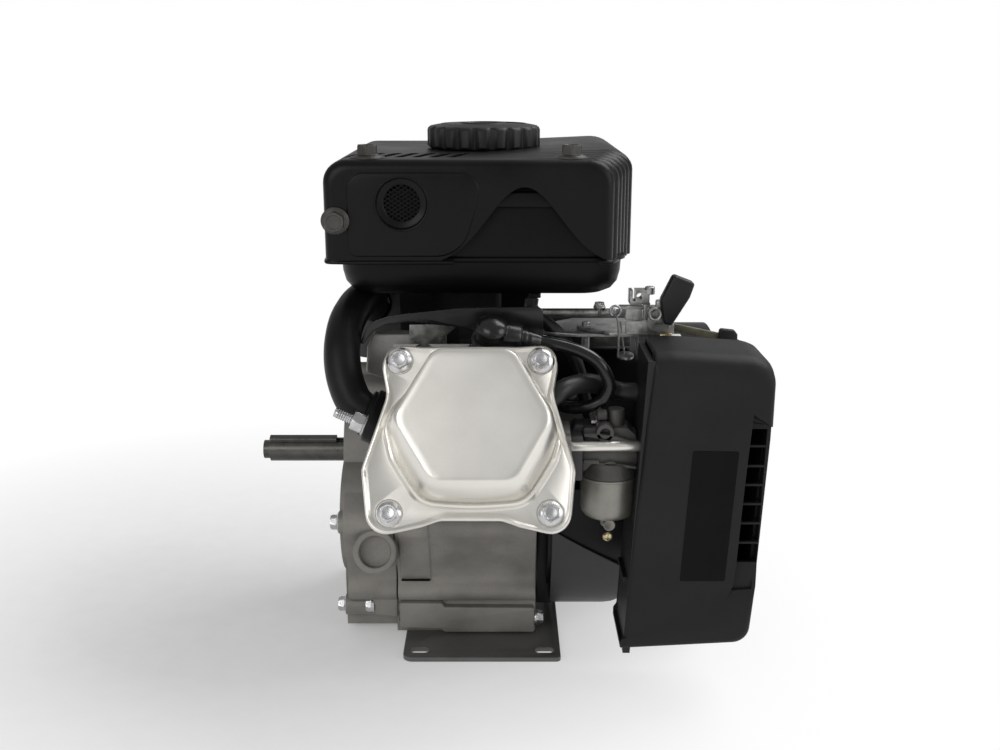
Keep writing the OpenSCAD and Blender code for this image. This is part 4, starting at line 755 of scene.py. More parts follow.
def makeVent():
    # a dished ring with woven wire across its mouth
    radius = tankShape["ventRadius"]
    dish = turned("ventDish",
                  [(radius, -1.5), (radius, 0.6), (radius - 0.4, 1), (radius - 1.1, 0.8),
                   (radius - 1.7, -1.2), (radius - 3, -1.8), (10.6, -2.2), (10.1, -2.6), (10.1, -4.2),
                   (10.8, -4.6), (radius, -4.6)], sides=56)
    selectOnly(dish)
    bpy.ops.object.mode_set(mode="EDIT")
    bpy.ops.mesh.select_all(action="DESELECT")
    shape = bmesh.from_edit_mesh(dish.data)
    for face in shape.faces:
        face.select = len(face.verts) > 8
    bmesh.update_edit_mesh(dish.data)
    bpy.ops.mesh.delete(type="FACE")
    bpy.ops.mesh.select_non_manifold()
    bpy.ops.mesh.bridge_edge_loops()
    bpy.ops.object.mode_set(mode="OBJECT")
    closeUp(dish)
    wires = []
    for turn in (58, -58):
        for i in range(-5, 6):
            side = i * tankShape["wirePitch"]
            reach = math.sqrt(tankShape["mouthRadius"] ** 2 - side ** 2)
            bpy.ops.object.select_all(action="DESELECT")
            bpy.ops.mesh.primitive_cylinder_add(vertices=8, radius=0.42, depth=2 * reach)
            wire = takeMade("wire")
            wire.data.transform(at(0, 0, -3.4 + 0.2 * (turn > 0), turnZ=turn) @ at(side, 0, 0, turnX=90))
            wires.append(wire)
    vent = weld("ventDish", dish, *wires)
    x, z = tankShape["vent"]
    settle(vent, onFrame(x, tankShape["front"] - 0.2, z, turnX=90), "blackCoat", "engine_block", "vent_mesh")


def makeTankBody():
    # the tank under its cover: two pressed halves with a seam between them
    low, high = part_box("fuel_tank")
    low, high = low / mm, high / mm
    rings = []
    for height, inset, corner in [(0, 16, 10), (0.8, 10, 14), (3, 5.5, 17), (7, 2.6, 18), (13, 1.2, 18),
                                  (19.5, 0.8, 18), (20, -1.4, 19), (21.8, -1.4, 19), (22.3, 0.8, 18),
                                  (56, 1.2, 18), (62, 3, 17), (65.4, 7, 14), (66.5, 14, 10)]:
        left, right = low.x + 2 + inset, high.x - 1 - inset
        front, back = low.y + inset, high.y - inset
        outline = roundCorners(fourCorners(left, front, right, back, corner), steps=8)
        rings.append([(x, y, 227.6 + height * 1.06) for x, y in outline])
    body = ringStack("tankBody", rings)
    neck = turned("neck",
                  [(20, 290), (20, 306.5), (22.5, 306.8), (23.4, 307.8), (22.5, 308.8), (18, 308.8),
                   (17.4, 308), (17, 290)])
    neck.data.transform(Matrix.Translation((1, 20, 0)))
    outlet = turned("outlet", [(3.4, 225.2), (3.4, 231), (6.5, 231.4), (6.5, 233)], sides=24)
    outlet.data.transform(Matrix.Translation((30, -60, 0)))
    ledge = cutPlate("ledge", [roundCorners([(-19, 0, 4), (19, 0, 4), (15, 9, 5), (-15, 9, 5)])], 3, 1)
    ledge.data.transform(at(tankShape["bellMiddle"] - 0.5, low.y + 1.6, 279, turnX=90))
    body = weld("tankBody", body, neck, outlet, ledge)
    settle(body, wider, "tankBody", "engine_block", "fuel_tank", smooth=40)


def makeTankBolts():
    bolt = flangeBolt("tankBolt", 10, 7.6, 7.4, 8)
    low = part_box("tank_bolts")[0] / mm
    spots = [at(x, y, tankShape["top"]) for x, y in tankShape["topBolts"]]
    spots += [at(-76.5, tankShape["front"] - 0.3, 272.6, turnX=90)]
    spots += [at(-43, 17, low.z + 9), at(22, 17, low.z + 9)]
    bolts = copies(bolt, spots)
    washers = []
    for x, y in tankShape["topBolts"]:
        washer = turned("washer", [(9.2, 0), (9.6, 0.3), (9.6, 1.2), (9.2, 1.5)], sides=40)
        washer.data.transform(at(x, y, tankShape["top"] - 0.8))
        washers.append(washer)
    settle(weld("tankBolts", *bolts, *washers), wider, "darkSteel", "engine_block", "tank_bolts")


def makeFuelCap():
    # finger lobes round the edge, a raised crown and a shallow dish on top
    low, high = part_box("fuel_cap")
    middle = (low + high) / 2 / mm
    reach = (high.x - low.x) / 2 / mm
    height = (high.z - low.z) / mm

    def lobes(size, depth):
        return lambda a: size - depth * (0.5 - 0.5 * math.cos(20 * a)) ** 3
    cap = turned("fuelCap",
                 [(23.6, 4), (23.6, 0), (reach - 2.4, 0), (lobes(reach - 1.2, 0.8), 0.4),
                  (lobes(reach, 1.9), 1.6), (lobes(reach, 2.2), height - 4.4),
                  (lobes(reach - 0.6, 1.8), height - 3), (lobes(reach - 2, 0.8), height - 2),
                  (reach - 4.4, height - 1.5), (27.4, height - 0.9), (26.9, height - 0.7),
                  (26.4, height - 1.5), (20, height - 1.1), (14.4, height - 0.7), (13.9, height),
                  (12.6, height), (12, height - 0.8), (4, height - 0.8)], sides=240)
    settle(cap, onFrame(middle.x, middle.y, low.z / mm), "blackPlastic", "fuel_cap", "fuel_cap")


pressTankCover()
makeVent()
makeTankBody()
makeTankBolts()
makeFuelCap()
print("tank, cover and cap are made")


# the air cleaner's cover: a soft-edged box, open at the engine's side,
# with a louvred recess down its outer edge
cleaner = {
    "back": -86, "front": -132.3, "wall": 2.2, "topRound": 13, "edgeRound": 3.2,
    "bars": [155.5, 144, 133, 121.8, 110.4, 98.8], "openings": (166, 86.5),
}


def cleanerOutline(drop=0.0, inset=0.0, left=0.0):
    i = inset
    return roundCorners([(79.4 + i - left, 36.2 + i, 0.6), (151.8 - i, 40.2 + i, 9.5), (155.2 - i, 84, 80),
                         (158.6 - i, 160, 50), (158.7 - i, 201.8 - i - drop, 9),
                         (148 - i, 206 - i - drop, 20), (104, 209 - i - drop, 30),
                         (93.6 + i - left, 208 - i - drop, 2), (90 + i - left, 168, 20),
                         (86.3 + i - left, 120, 60), (81.3 + i - left, 44, 1),
                         (79.5 + i - left, 41.2 + i, 0.6)])


def ringAt(outline, y):
    # an outline in x and z becomes a ring at one y
    return [(x, y, z) for x, z in outline]


def makeCleanerCover():
    top, edge, front = cleaner["topRound"], cleaner["edgeRound"], cleaner["front"]
    rings = [ringAt(cleanerOutline(0, 2), cleaner["back"]), ringAt(cleanerOutline(0, 0), cleaner["back"] - 2)]
    for step in range(13):
        turn = math.radians(step * 7.5)
        y = front + top - top * math.sin(turn)
        near = max(0.0, (edge - (y - front)) / edge)
        inset = edge * (1 - math.sqrt(1 - near * near)) if near < 1 else edge
        rings.append(ringAt(cleanerOutline(top * (1 - math.cos(turn)) * 0.8, inset), y))
    shell = ringStack("air_cleaner_cover_shell", rings)
    wall = cleaner["wall"]
    hollow = ringStack("hollow",
                       [ringAt(cleanerOutline(0, wall, 12), cleaner["back"] - wall),
                        ringAt(cleanerOutline(0, wall, 12), front + top),
                        ringAt(cleanerOutline(top * 0.75, wall, 12), front + wall)])
    mouth = ringStack("mouth",
                      [ringAt([(147.4, 176.6), (144.8, 140), (142.2, 86), (141, 74), (136, 62.2), (150, 63),
                               (157.5, 72), (170, 84), (170, 150), (170, 168.5), (158.5, 168.5),
                               (152, 173)], front - 1),
                       ringAt([(148.4, 168.5), (145.8, 140), (143.2, 88), (143.2, 87.2), (143.4, 86.4),
                               (150, 86), (158.5, 86), (170, 88), (170, 150), (170, 167), (158.5, 167),
                               (153, 168)], front + 6.5)])
    carve(shell, hollow)
    floor = ringStack("floor", [
        ringAt(cleanerOutline(0, 1, 0), front + 4), ringAt(cleanerOutline(0, 1, 0), front + 8.7)])
    recess = [(138, 60), (170, 60), (170, 178), (138, 178)]
    keep = ringStack("keep", [ringAt(recess, front - 3), ringAt(recess, front + 9)])
    carve(floor, keep, way="INTERSECT")
    carve(shell, floor, way="UNION")
    carve(shell, mouth)
    heights = [cleaner["openings"][0], *cleaner["bars"], cleaner["openings"][1]]
    slots = []
    for high, low in zip(heights, heights[1:]):
        left = 143.6 + 4.6 * (low - 86) / 80
        right = 155.0 + 1.6 * (low - 86) / 80
        box = [(left, low + 0.6), (right, low + 0.6), (right + 0.2, high - 0.6), (left + 0.6, high - 0.6)]
        slots.append(ringStack("slot", [ringAt(box, front + 2), ringAt(box, front + 14)]))
    carve(shell, *slots)
    settle(shell, here, "cleanerPlastic", "air_cleaner_cover", "air_cleaner_cover", smooth=45)


def makeLabel():
    # the sticker is bare: nothing is printed on it
    face = cleaner["front"] - 0.02
    corners = [(111.4, 78.6, 1), (136.4, 78.6, 1), (140.6, 154.6, 1), (115.6, 155, 1)]
    sticker = ringStack("blank_label", [ringAt(roundCorners(corners, 3), face + 0.3),
                                        ringAt(roundCorners(corners, 3), face - 0.18)])
    settle(sticker, here, "labelBlack", "air_cleaner_cover")


makeCleanerCover()
makeLabel()
print("air cleaner is dressed")


# hoses, lead and bent pipes
def route(points, steps=6):
    # a smooth line that passes through every point
    spots = [Vector(p) for p in points]
    line = []
    for i in range(len(spots) - 1):
        before, after = spots[max(i - 1, 0)], spots[min(i + 2, len(spots) - 1)]
        first, last = spots[i], spots[i + 1]
        for step in range(steps):
            t = step / steps
            line.append(0.5 * (2 * first + (last - before) * t
                               + (2 * before - 5 * first + 4 * last - after) * t ** 2
                               + (3 * first - before - 3 * last + after) * t ** 3))
    return line + [spots[-1]]


def runTube(name, line, radius, sides=8):
    # a tube through points that are already close together
    return addTube(name, line, radius, sides, "POLY")


plug = {"x": 2, "w": 20, "u": 121, "lean": -33, "turn": 11}
plugFrame = onBore(plug["x"], plug["w"], plug["u"]) @ Matrix.Rotation(math.radians(plug["lean"]), 4, "X") \
    @ Matrix.Rotation(math.radians(plug["turn"]), 4, "Y")

boot = {
    "cap": [(8.6, 29), (10, 29.6), (10, 32), (8.8, 33), (8.6, 46), (9.2, 48), (9.2, 51.5), (8.6, 54),
            (6.6, 56.2), (3.4, 57.4), (1.2, 57.7)],
    "arm": [(8.2, 3), (8.3, 8), (8.3, 14.5), (7.6, 16), (6.4, 16.4), (6.1, 17.4), (6.4, 18.2), (5.9, 19.2),
            (5.6, 20.2), (5.9, 21.2), (5.3, 22.4), (4.9, 25), (4.0, 27.5)],
}


def makeBoot():
    cap = turned("plug_boot", boot["cap"], 40)
    arm = turned("arm", boot["arm"], 36)
    arm.data.transform(at(0, 0, 47, 0, 90, 0))
    collar = turned("collar", [(9.6, 41), (10.2, 41.8), (10.2, 43), (9.6, 43.8)], 40)
    settle(weld("plug_boot", cap, arm, collar), plugFrame, "glossRubber", "engine_block", "plug_boot",
           smooth=50)


leadRoute = {
    "points": [(29.8, -104.6, 209.6), (34, -104, 209), (40, -104, 208), (48, -104, 206), (57, -105, 203),
               (65, -106, 198), (70, -107, 191), (72, -107, 184), (69, -107, 177), (63, -106, 173),
               (56, -104, 171), (50, -100, 170), (46, -93, 169), (45, -84, 167), (46, -72, 164),
               (50, -62, 162), (56, -53, 162), (60, -45, 165), (60, -38, 169), (60, -33.5, 171.6)],
    "radius": 3.5,
}
breatherRoute = {
    "points": [(36.4, -119.2, 181), (41, -119, 182), (46, -116, 185), (53, -110, 186), (60, -103, 185),
               (68, -97, 182), (77, -94, 178), (84, -94, 177), (94, -94, 177)],
    "radius": 5.5,
}
fuelRoute = {
    "points": [(30, -60, 224.4), (30, -60, 218.5), (36, -61, 212), (45, -64, 205), (53, -66, 194),
               (58, -67, 182), (61, -68, 168), (65, -72, 154), (69, -78, 143), (70.5, -83, 138.4),
               (70.5, -89.4, 137.7)],
    "radius": 4,
}


def makeHeld(name, values, finish, stiffness, *nodes):
    line = route(values["points"])
    piece = runTube(name, line, values["radius"], 7)
    settle(piece, here, finish, "engine_block", *nodes, smooth=60)
    path = [tuple(p * mm) for p in line]
    length = sum((Vector(b) - Vector(a)).length for a, b in zip(path, path[1:]))
    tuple(path[0])
    print(name, "is", round(length, 4), "m long")


# the exhaust: a bent pipe on a two-eared flange, held by nuts on studs
exhaust = {
    "line": [(-53, -101.6, 162.2), (-58.5, -101.6, 164.6), (-65, -100.5, 168), (-72, -98, 174.5),
             (-77, -93, 187.6), (-78.6, -85, 201), (-77.5, -72, 212), (-74.3, -55, 218.5),
             (-71.5, -30, 219), (-71, -5, 212), (-72, 10, 206.5), (-72, 24, 205)],
    "radius": 10.4,
    "flange": (-50.6, -101.6, 161.3), "flangeTurn": -66, "flangeRadius": 15.2, "flangeEars": 12, "studY": 20,
}


def makeExhaust():
    pipe = runTube("exhaust_elbow", route(exhaust["line"], 8), exhaust["radius"], 9)
    collar = turned("collar", [(12, 12.2), (13.4, 12.6), (13.4, 14.4), (11, 15.8)], 40)
    outline = []
    for i in range(72):
        turn = math.radians(i * 5)
        ahead = Vector((math.cos(turn), math.sin(turn)))
        side = abs(ahead.y)
        outline.append(tuple(ahead * (exhaust["flangeRadius"] + exhaust["flangeEars"] * side ** 6)))
    flange = cutPlate("flange", [outline], 12.6, 1.4)
    seat = at(*exhaust["flange"], turnY=exhaust["flangeTurn"])
    collar.data.transform(seat)
    flange.data.transform(seat)
    settle(weld("exhaust_elbow", pipe, collar, flange), here, "exhaustBlack", "engine_block",
           "exhaust_elbow", smooth=50)


def hexNut(name, across, height, hole):
    # a nut with both faces chamfered and a round hole
    def flat(a):
        return across / 2 / math.cos((a + math.pi / 6) % (math.pi / 3) - math.pi / 6)

    def soft(a):
        return min(flat(a), across / 2 * 1.07)
    return turned(name,
                  [(hole, 0.4), (hole + 0.4, 0), (soft, 0), (flat, 0.7), (flat, height - 0.7),
                   (soft, height), (hole + 0.4, height), (hole, height - 0.4)], 48)


def threadedRod(name, radius, length, pitch=1.0):
    # crests and roots as plain rings
    rings = [(radius - 0.7, 0), (radius - 0.35, 0.5)]
    spot = 0.5
    while spot + pitch < length - 0.6:
        rings += [(radius, spot + pitch * 0.35), (radius - 0.42, spot + pitch * 0.85)]
        spot += pitch
    return turned(name, rings + [(radius - 0.4, length - 0.3), (radius - 0.9, length)], 28)


# the carburettor: y and z are its bore, and the rest is the float bowl
carb = {
    "y": -107.97, "z": 147.66, "bowlX": 72.6, "bowlTop": 134, "bowlLow": 108.6, "bowlRadius": 15.6,
}


def makeStuds():
    pieces = []
    for y in (-exhaust["studY"], exhaust["studY"]):
        rod = threadedRod("rod", 3, 33, 1.25)
        rod.data.transform(at(0, y, -2))
        nut = hexNut("nut", 10.4, 6.6, 2.8)
        nut.data.transform(at(0, y, 13.8, 0, 0, 12))
        washer = turned("washer", [(2.9, 12.6), (6.3, 12.6), (6.4, 12.8), (6.4, 13.6), (2.9, 13.6)], 36)
        washer.data.transform(at(0, y, 0))
        pieces += [rod, nut, washer]
    studs = weld("exhaust_studs", *pieces)
    settle(studs, onFrame(*exhaust["flange"], turnY=exhaust["flangeTurn"]), "zincPlate", "engine_block",
           "port_studs", smooth=45)
    longs = []
    for side in (-1, 1):
        rod = turned("rod", [(2.2, -2), (2.9, -1.2), (2.9, 46.5), (2.3, 47.2)], 32)
        rod.data.transform(at(6.8 * side, 14.5 * side, 0))
        longs.append(rod)
    intake = weld("intake_studs", *longs)
    settle(intake, onFrame(42, carb["y"], carb["z"], turnY=90), "stampedSteel", "engine_block",
           "port_studs", smooth=45)


makeBoot()
makeHeld("ignition_lead", leadRoute, "glossRubber", "medium", "ignition_lead")
makeHeld("breather_hose", breatherRoute, "blackRubber", "medium", "hoses")
makeHeld("fuel_hose", fuelRoute, "blackRubber", "medium", "hoses")
makeExhaust()
makeStuds()
print("plug boot, lead, hoses and exhaust are dressed")


def placed(piece, place):
    piece.data.transform(place)
    return piece


def upright(name, outline, y, thick, rim=0.3):
    # a plate that faces the front, cut in x and z, with its back at y and its thickness to the front
    return placed(cutPlate(name, outline, thick, rim), at(0, y, 0, 90))


def makeInsulator():
    body = upright("insulator", [roundCorners(fourCorners(50.2, 134.5, 56.8, 160.2, 1), 3)], -93, 30, 0.6)
    neck = upright("neck",
                   [roundCorners([(49.6, 154, 1), (58.6, 154, 1), (60.4, 162.6, 1.5), (53, 163.6, 1.5)],
                                 3)], -98, 14, 0.8)
    settle(weld("insulator", body, neck), here, "greyPlastic", "engine_block", "insulator", smooth=45)


def makeCarburettor():
    y, z = carb["y"], carb["z"]
    barrel = placed(turned("barrel", [(12.4, 57), (12.6, 57.4), (12.6, 86.6), (12.4, 86.9)], 48),
                    at(0, y, z, 0, 90))
    flank = upright("block",
                    [roundCorners([(57.4, 139, 1), (86.5, 136, 1), (86.5, 159, 1), (82, 163, 2),
                                   (57.4, 163, 1)], 3)], y + 10, 19, 0.5)
    shelf = upright("shelf",
                    [roundCorners([(57.2, 159.6, 0.5), (86.8, 154.6, 0.5), (86.8, 156.4, 0.5),
                                   (72, 160.4, 3), (64, 161.4, 2), (57.2, 161.2, 0.5)], 3)], y, 14, 0.4)
    lower = upright("lower",
                    [roundCorners([(57.2, 146.4, 0.5), (66, 146, 0.5), (66, 144.4, 0.5), (78, 144, 0.5),
                                   (86.8, 142.4, 0.5), (86.8, 140.8, 0.5), (57.2, 144.6, 0.5)], 3)], y, 14,
                    0.4)
    ears = []
    for x, high, radius in ((68.9, 161.6, 4.9), (72.3, 140.7, 4.7)):
        ears.append(upright("ear", [circle(x, high, radius, 40), circle(x, high, radius - 2.1, 32)], y - 6,
                            8, 0.3))
    rim = turned("rim",
                 [(15.6, carb["bowlTop"]), (16.2, carb["bowlTop"] + 0.3), (16.2, 142), (15.2, 143.4),
                  (9, 143.8)], 64)
    rim.data.transform(at(carb["bowlX"], y, 0))
    tower = placed(turned("tower", [(5, 160), (5, 171), (4.4, 171.8)], 32), at(76, y, 0))
    knob = placed(turned("knob", [(3, 0), (3.4, 0.4), (3.4, 5), (2.8, 5.6)], 6), at(65, y - 4, 169, 0, 90))
    body = weld("carburettor_body", barrel, flank, shelf, lower, *ears, rim, tower, knob)
    settle(body, here, "carbCasting", "engine_block", "carburettor_body", smooth=40)


def makeBowl():
    low, radius, top = carb["bowlLow"], carb["bowlRadius"], carb["bowlTop"]
    cup = turned("float_bowl",
                 [(2.8, low - 0.2), (7, low), (radius - 4.2, low + 0.5), (radius - 2, low + 1.6),
                  (radius - 0.7, low + 3.4), (radius - 0.1, low + 5.8), (radius, low + 8),
                  (radius, top - 1.6), (radius + 0.7, top - 1.2), (radius + 0.7, top - 0.15),
                  (radius - 1, top - 0.15)], 72)
    boss = turned("boss", [(3.6, low - 5.2), (4.2, low - 4.8), (4.4, low - 1), (5.4, low + 0.8)], 36)
    spout = placed(turned("spout", [(3.1, 0), (3.5, 0.4), (3.5, 8)], 28), at(0.4, -9.5, low - 2.9, -90))
    boss.data.transform(at(0, -2.5, 0))
    bowl = weld("float_bowl", cup, boss, spout)
    settle(bowl, onFrame(carb["bowlX"], carb["y"], 0), "bowlZinc", "engine_block", "float_bowl", smooth=45)
    screw = turned("drain_screw", [(2.2, 0), (2.9, 0.3), (2.9, 1.6), (2.2, 2.5), (0.9, 2.8)], 32)
    slit = [(-1.7, -0.35), (1.7, -0.35), (1.7, 0.35), (-1.7, 0.35)]
    bar, cross = (ringStack("bar", [[(x, y, z) for x, y in slit] for z in (1.5, 3.4)]) for cut in range(2))
    cross.data.transform(at(0, 0, 0, 0, 0, 90))
    carve(screw, bar, cross)
    settle(screw, onFrame(carb["bowlX"] - 1.2, carb["y"] - 15.4, low - 6.2, 118), "brass", "engine_block",
           "float_bowl", smooth=45)


makeInsulator()
makeCarburettor()
makeBowl()
print("carburettor is dressed")


def block(name, low, high, rim=0.5):
    # a box between two opposite corners, with softened edges
    outline = [(low[0], low[1]), (high[0], low[1]), (high[0], high[1]), (low[0], high[1])]
    made = ringStack(name, [[(x, y, z) for x, y in outline] for z in (low[2], high[2])])
    if rim:
        softenEdges(made, rim, 2)
    return made


# the controls: bracket, cable clamps, throttle and choke levers, governor links
def makeBracket():
    top = placed(cutPlate("control_plate",
                          [roundCorners([(27, -64, 2), (56, -72, 2), (112, -72, 3), (112, -28, 3),
                                         (56, -28, 3), (27, -52, 2)], 3), circle(107, -50, 2.6)], 2, 0.3),
                 at(0, 0, 204))
    post = block("post", (68, -30, 188.6), (92, -28.2, 205))
    front = block("front", (84, -72, 205), (112, -70.2, 213.5), 0.4)
    slant = upright("slant",
                    [roundCorners([(83.2, 214.6, 0.6), (93.4, 213.2, 0.6), (93.4, 221.4, 0.6),
                                   (84.6, 223, 0.6)], 3)], -70, 2, 0.3)
    hook = block("hook", (80, -72, 220.4), (94, -66, 222.2), 0.4)
    clamp = block("clamp", (85.7, -72, 223.2), (97.4, -63, 231.6), 0.7)
    hole = placed(turned("hole", [(1.9, 0), (1.9, 20)], 24), at(91.6, -60, 228, 90))
    gap = block("gap", (87.6, -80, 225.2), (89.2, -60, 235), 0)
    carve(clamp, hole, gap)
    ear = placed(turned("ear", [(2.6, 0), (2.9, 0.3), (2.9, 4), (2.4, 4.4)], 28), at(97.6, -69.5, 229))
    neck = block("neck", (94, -71, 213), (98, -67, 224), 0.5)
    tab = block("tab", (101.2, -72, 216), (108.2, -66, 225.4), 1.1)
    swivel = placed(turned("swivel",
                           [(2.5, 0), (2.5, 12), (3.4, 12.3), (4.05, 11.7), (4.05, 9), (3.4, 8.4),
                            (3.4, 0)], 40), at(99.7, -68.5, 219.2, 90))
    stem = placed(turned("stem", [(2.2, -6), (2.2, 2)], 24), at(99.7, -70, 216))
    rod = placed(turned("rod", [(2, 0), (2.4, 0.4), (2.4, 50), (2, 50.4)], 20), at(29, -60, 216.2, 0, 90))
    screw = placed(flangeBolt("screw", 5.5, 3.6, 3.4, 4, 1.6), at(69.5, -61, 219))
    piece = weld("control_plate", top, post, front, slant, hook, clamp, ear, neck, tab, swivel, stem, rod,
                 screw)
    settle(piece, here, "wornZinc", "engine_block", "control_plate", smooth=40)
    pin = placed(turned("pin", [(1.5, 0), (1.7, 0.3), (1.7, 7)], 24), at(103.4, -74, 205.4, 0, 90))
    settle(pin, here, "brass", "engine_block", "control_plate", smooth=45)
    cap = block("cap", (109.8, -76.5, 202.4), (115.6, -72.2, 206.2), 0.4)
    settle(cap, here, "porcelain", "engine_block", "control_plate", smooth=45)


def makeThrottleLever():
    knob = upright("knob",
                   [roundCorners([(109.3, 242.2, 2), (102.2, 227.4, 5), (104.8, 213.6, 1.6),
                                  (109.2, 212.8, 1.6), (118.9, 229, 4), (121.6, 237.4, 2)], 5)], -74, 8.4,
                   1.7)
    disc = placed(turned("disc", [(2.4, -2), (2.4, 0), (6.6, 0.1), (6.8, 0.4), (6.8, 1.8), (2, 2.2)], 36),
                  at(103, -72.4, 214, 90))
    arm = upright("arm",
                  [roundCorners([(99.5, 212.5, 1), (108.5, 212.5, 1), (110, 220, 1), (104, 222, 1)], 3)],
                  -73.6, 1.6, 0.2)
    settle(weld("throttle_arm", disc, arm), here, "wornZinc", "throttle_lever", "throttle_lever", smooth=40)
    settle(knob, here, "blackPlastic", "throttle_lever", "throttle_lever", smooth=50)


def makeChokeLever():
    bar = upright("choke_lever",
                  [roundCorners([(98.6, 209.8, 0.6), (102, 207.8, 1), (110, 206.2, 2), (140, 199.8, 0.5),
                                 (140, 204.4, 0.5), (108, 211, 3), (102, 211.6, 1)], 4)], -60.6, 1.8, 0.3)
    hub = placed(turned("hub", [(2.4, -3), (2.4, -0.2), (5.6, 0), (5.8, 0.3), (5.8, 1.9), (5.4, 2.2)], 36),
                 at(107, -50, 206.2))
    arm = block("arm", (102.5, -61.8, 206.3), (111.5, -46, 208.2), 0.3)
    tip = upright("tip",
                  [roundCorners([(150, 197.2, 0.4), (155.4, 195.8, 0.6), (155.2, 198.4, 1),
                                 (150, 201, 0.4)], 3)], -60.6, 1.8, 0.3)
    settle(weld("choke_lever", bar, hub, arm, tip), here, "oliveZinc", "choke_lever", "choke_lever",
           smooth=40)
    tab = upright("tab",
                  [roundCorners([(139.2, 199.2, 0.6), (150.8, 196.8, 0.6), (150.8, 203.6, 1),
                                 (149, 206, 1.5), (140.4, 207, 1.5)], 4)], -59.4, 4.6, 0.8)
    settle(tab, here, "blackPlastic", "choke_lever", "choke_lever", smooth=45)


def makeGovernor():
    post = placed(turned("post", [(2, -16), (2.4, -15.6), (2.4, 3.6), (2, 4)], 24), at(62, -58, 206.3))
    arm = placed(cutPlate("arm",
                          [roundCorners([(56.5, -56, 3), (56.5, -62, 3), (74, -79, 2), (80.6, -79, 2),
                                         (66, -54, 3)], 3)], 1.8, 0.2), at(0, 0, 206.4))
    eye = arcPoints(77.2, 220.6, 3.1, range(-75, 241, 15))
    ring = runTube("ring", [(x, -78, z) for x, z in eye], 0.75, 4)
    link = runTube("link",
                   route([(77.9, -78, 217.7), (79, -77.8, 214), (79.4, -77, 205), (79.6, -76, 193.4)], 4),
                   0.65, 4)
    spring = runTube("spring", route([(81, -70, 213), (82.4, -70, 203), (84, -70, 193.6)], 4), 0.45, 3)
    plate = placed(turned("plate", [(4.6, 0), (5, 0.3), (5, 1.5), (4.6, 1.8)], 32),
                   Matrix.Diagonal((1, 1.7, 1, 1)))
    plate.data.transform(at(84.2, -72, 192.2))
    settle(weld("governor_arm", post, arm, ring, link, spring, plate), here, "wornZinc", "governor_arm",
           "governor_arm", smooth=40)


makeBracket()
makeThrottleLever()
makeChokeLever()
makeGovernor()
print("controls are dressed")


# the case: a smooth front with a rounded ledge over the foot, the blind filler and the bolts
case = {
    "front": [(-47.2, 25.2), (-49.8, 27.4), (-51.2, 30.6), (-51.2, 33.8), (-49.6, 37), (-48, 39.6),
              (-48.2, 43), (-50.6, 50), (-55.4, 58), (-58.9, 66), (-61, 71), (-63.6, 75), (-66.2, 79.5),
              (-66.8, 83.6), (-65.8, 88), (-61, 93), (-52, 99), (-46, 103)],
    "back": [(-42, 102), (-54.6, 88), (-56.2, 76), (-53, 60), (-43.6, 48), (-38.4, 40), (-38.2, 25.2)],
    "ring": (-65.2, -71.5, 69.4),
    "radius": 52, "camY": -19.8, "camZ": 76.8, "camRadius": 39.5, "camLean": 10, "coverX": -88,
    "boltAngles": (15, 65, 115), "lowBolts": [(-39, 19), (57, 19)],
}


def caseSkin(name, left, right, forward=0.0, lowest=0.0):
    # the front of the case between two x, stood forward of it and cut off below a height
    outline = [(y - forward, max(z, lowest)) for y, z in case["front"]]
    outline += [(y, max(z, lowest)) for y, z in case["back"]]
    made = ringStack(name, [[(x, y, z) for y, z in outline] for x in (left, right)])
    softenEdges(made, 0.8, 2, 50)
    return made


def makeCase():
    body = caseSkin("case_front", -53.7, 33.9)
    panel = caseSkin("panel", -51.2, -32.8, 1.1, 41)
    foot = upright("foot",
                   [roundCorners([(-52.7, 7.4, 1), (-52.7, 24.8, 1.2), (-26, 24.6, 1.5), (-24, 22, 1.5),
                                  (33.2, 21.6, 1.6), (33.2, 4.4, 1.2), (-24, 4.4, 1.5), (-27, 6.6, 1.5)],
                                 4)], -38.4, 12.2, 0.7)
    settle(weld("case_front", body, panel, foot), here, "castAluminium", "engine_block", smooth=35)
    cover = caseSkin("cover_front", -85.4, -54.4, -0.8)
    lug = upright("lug",
                  [roundCorners([(-69.4, 15.4, 1.5), (-69.4, 24.6, 1), (-76, 29, 2), (-86, 30.6, 1),
                                 (-86, 36, 1), (-54.4, 36, 1), (-54.4, 13.4, 1)], 4)], -39, 8.4, 0.7)
    x, y, z = case["ring"]
    boss = turned("boss",
                  [(13, -20), (13.5, -19), (13.5, -0.8), (12.8, 0), (10.2, 0), (9.5, -0.7), (9.5, -5.2),
                   (8.8, -5.6)], 64)
    boss.data.transform(at(x, y, z, 70))
    settle(weld("cover_front", cover, lug, boss), here, "castAluminium", "engine_block", smooth=35)
    spots = arcPoints(engine["crankY"], engine["crankZ"], case["radius"] + 1, case["boltAngles"])
    lean = math.radians(case["camLean"])
    spots.append((case["camY"] - case["camRadius"] * math.cos(lean),
                  case["camZ"] + case["camRadius"] * math.sin(lean)))
    spots += case["lowBolts"]
    model = flangeBolt("case_bolt", 8, 6.5, 5.8, 30)
    bolts = copies(model, [at(case["coverX"] + 0.6, y, z, 0, -90) for y, z in spots])
    drain = flangeBolt("drain", 8, 5.2, 5.6, 3, 2.4)
    bolts += copies(drain, [at(33.4, -45.2, 12.6, 0, 90), at(-69.4, -43.4, 20.6, 0, -90)])
    settle(weld("case_bolts", *bolts), here, "zincPlate", "engine_block", "case_bolts")


# the mounting plate, with its four slots
plateShape = {"halfWidth": 49, "halfDepth": 80.8, "thick": 3, "boltX": 39, "boltY": 71, "slot": (6, 3.2),
              "slotEnd": 3.1}


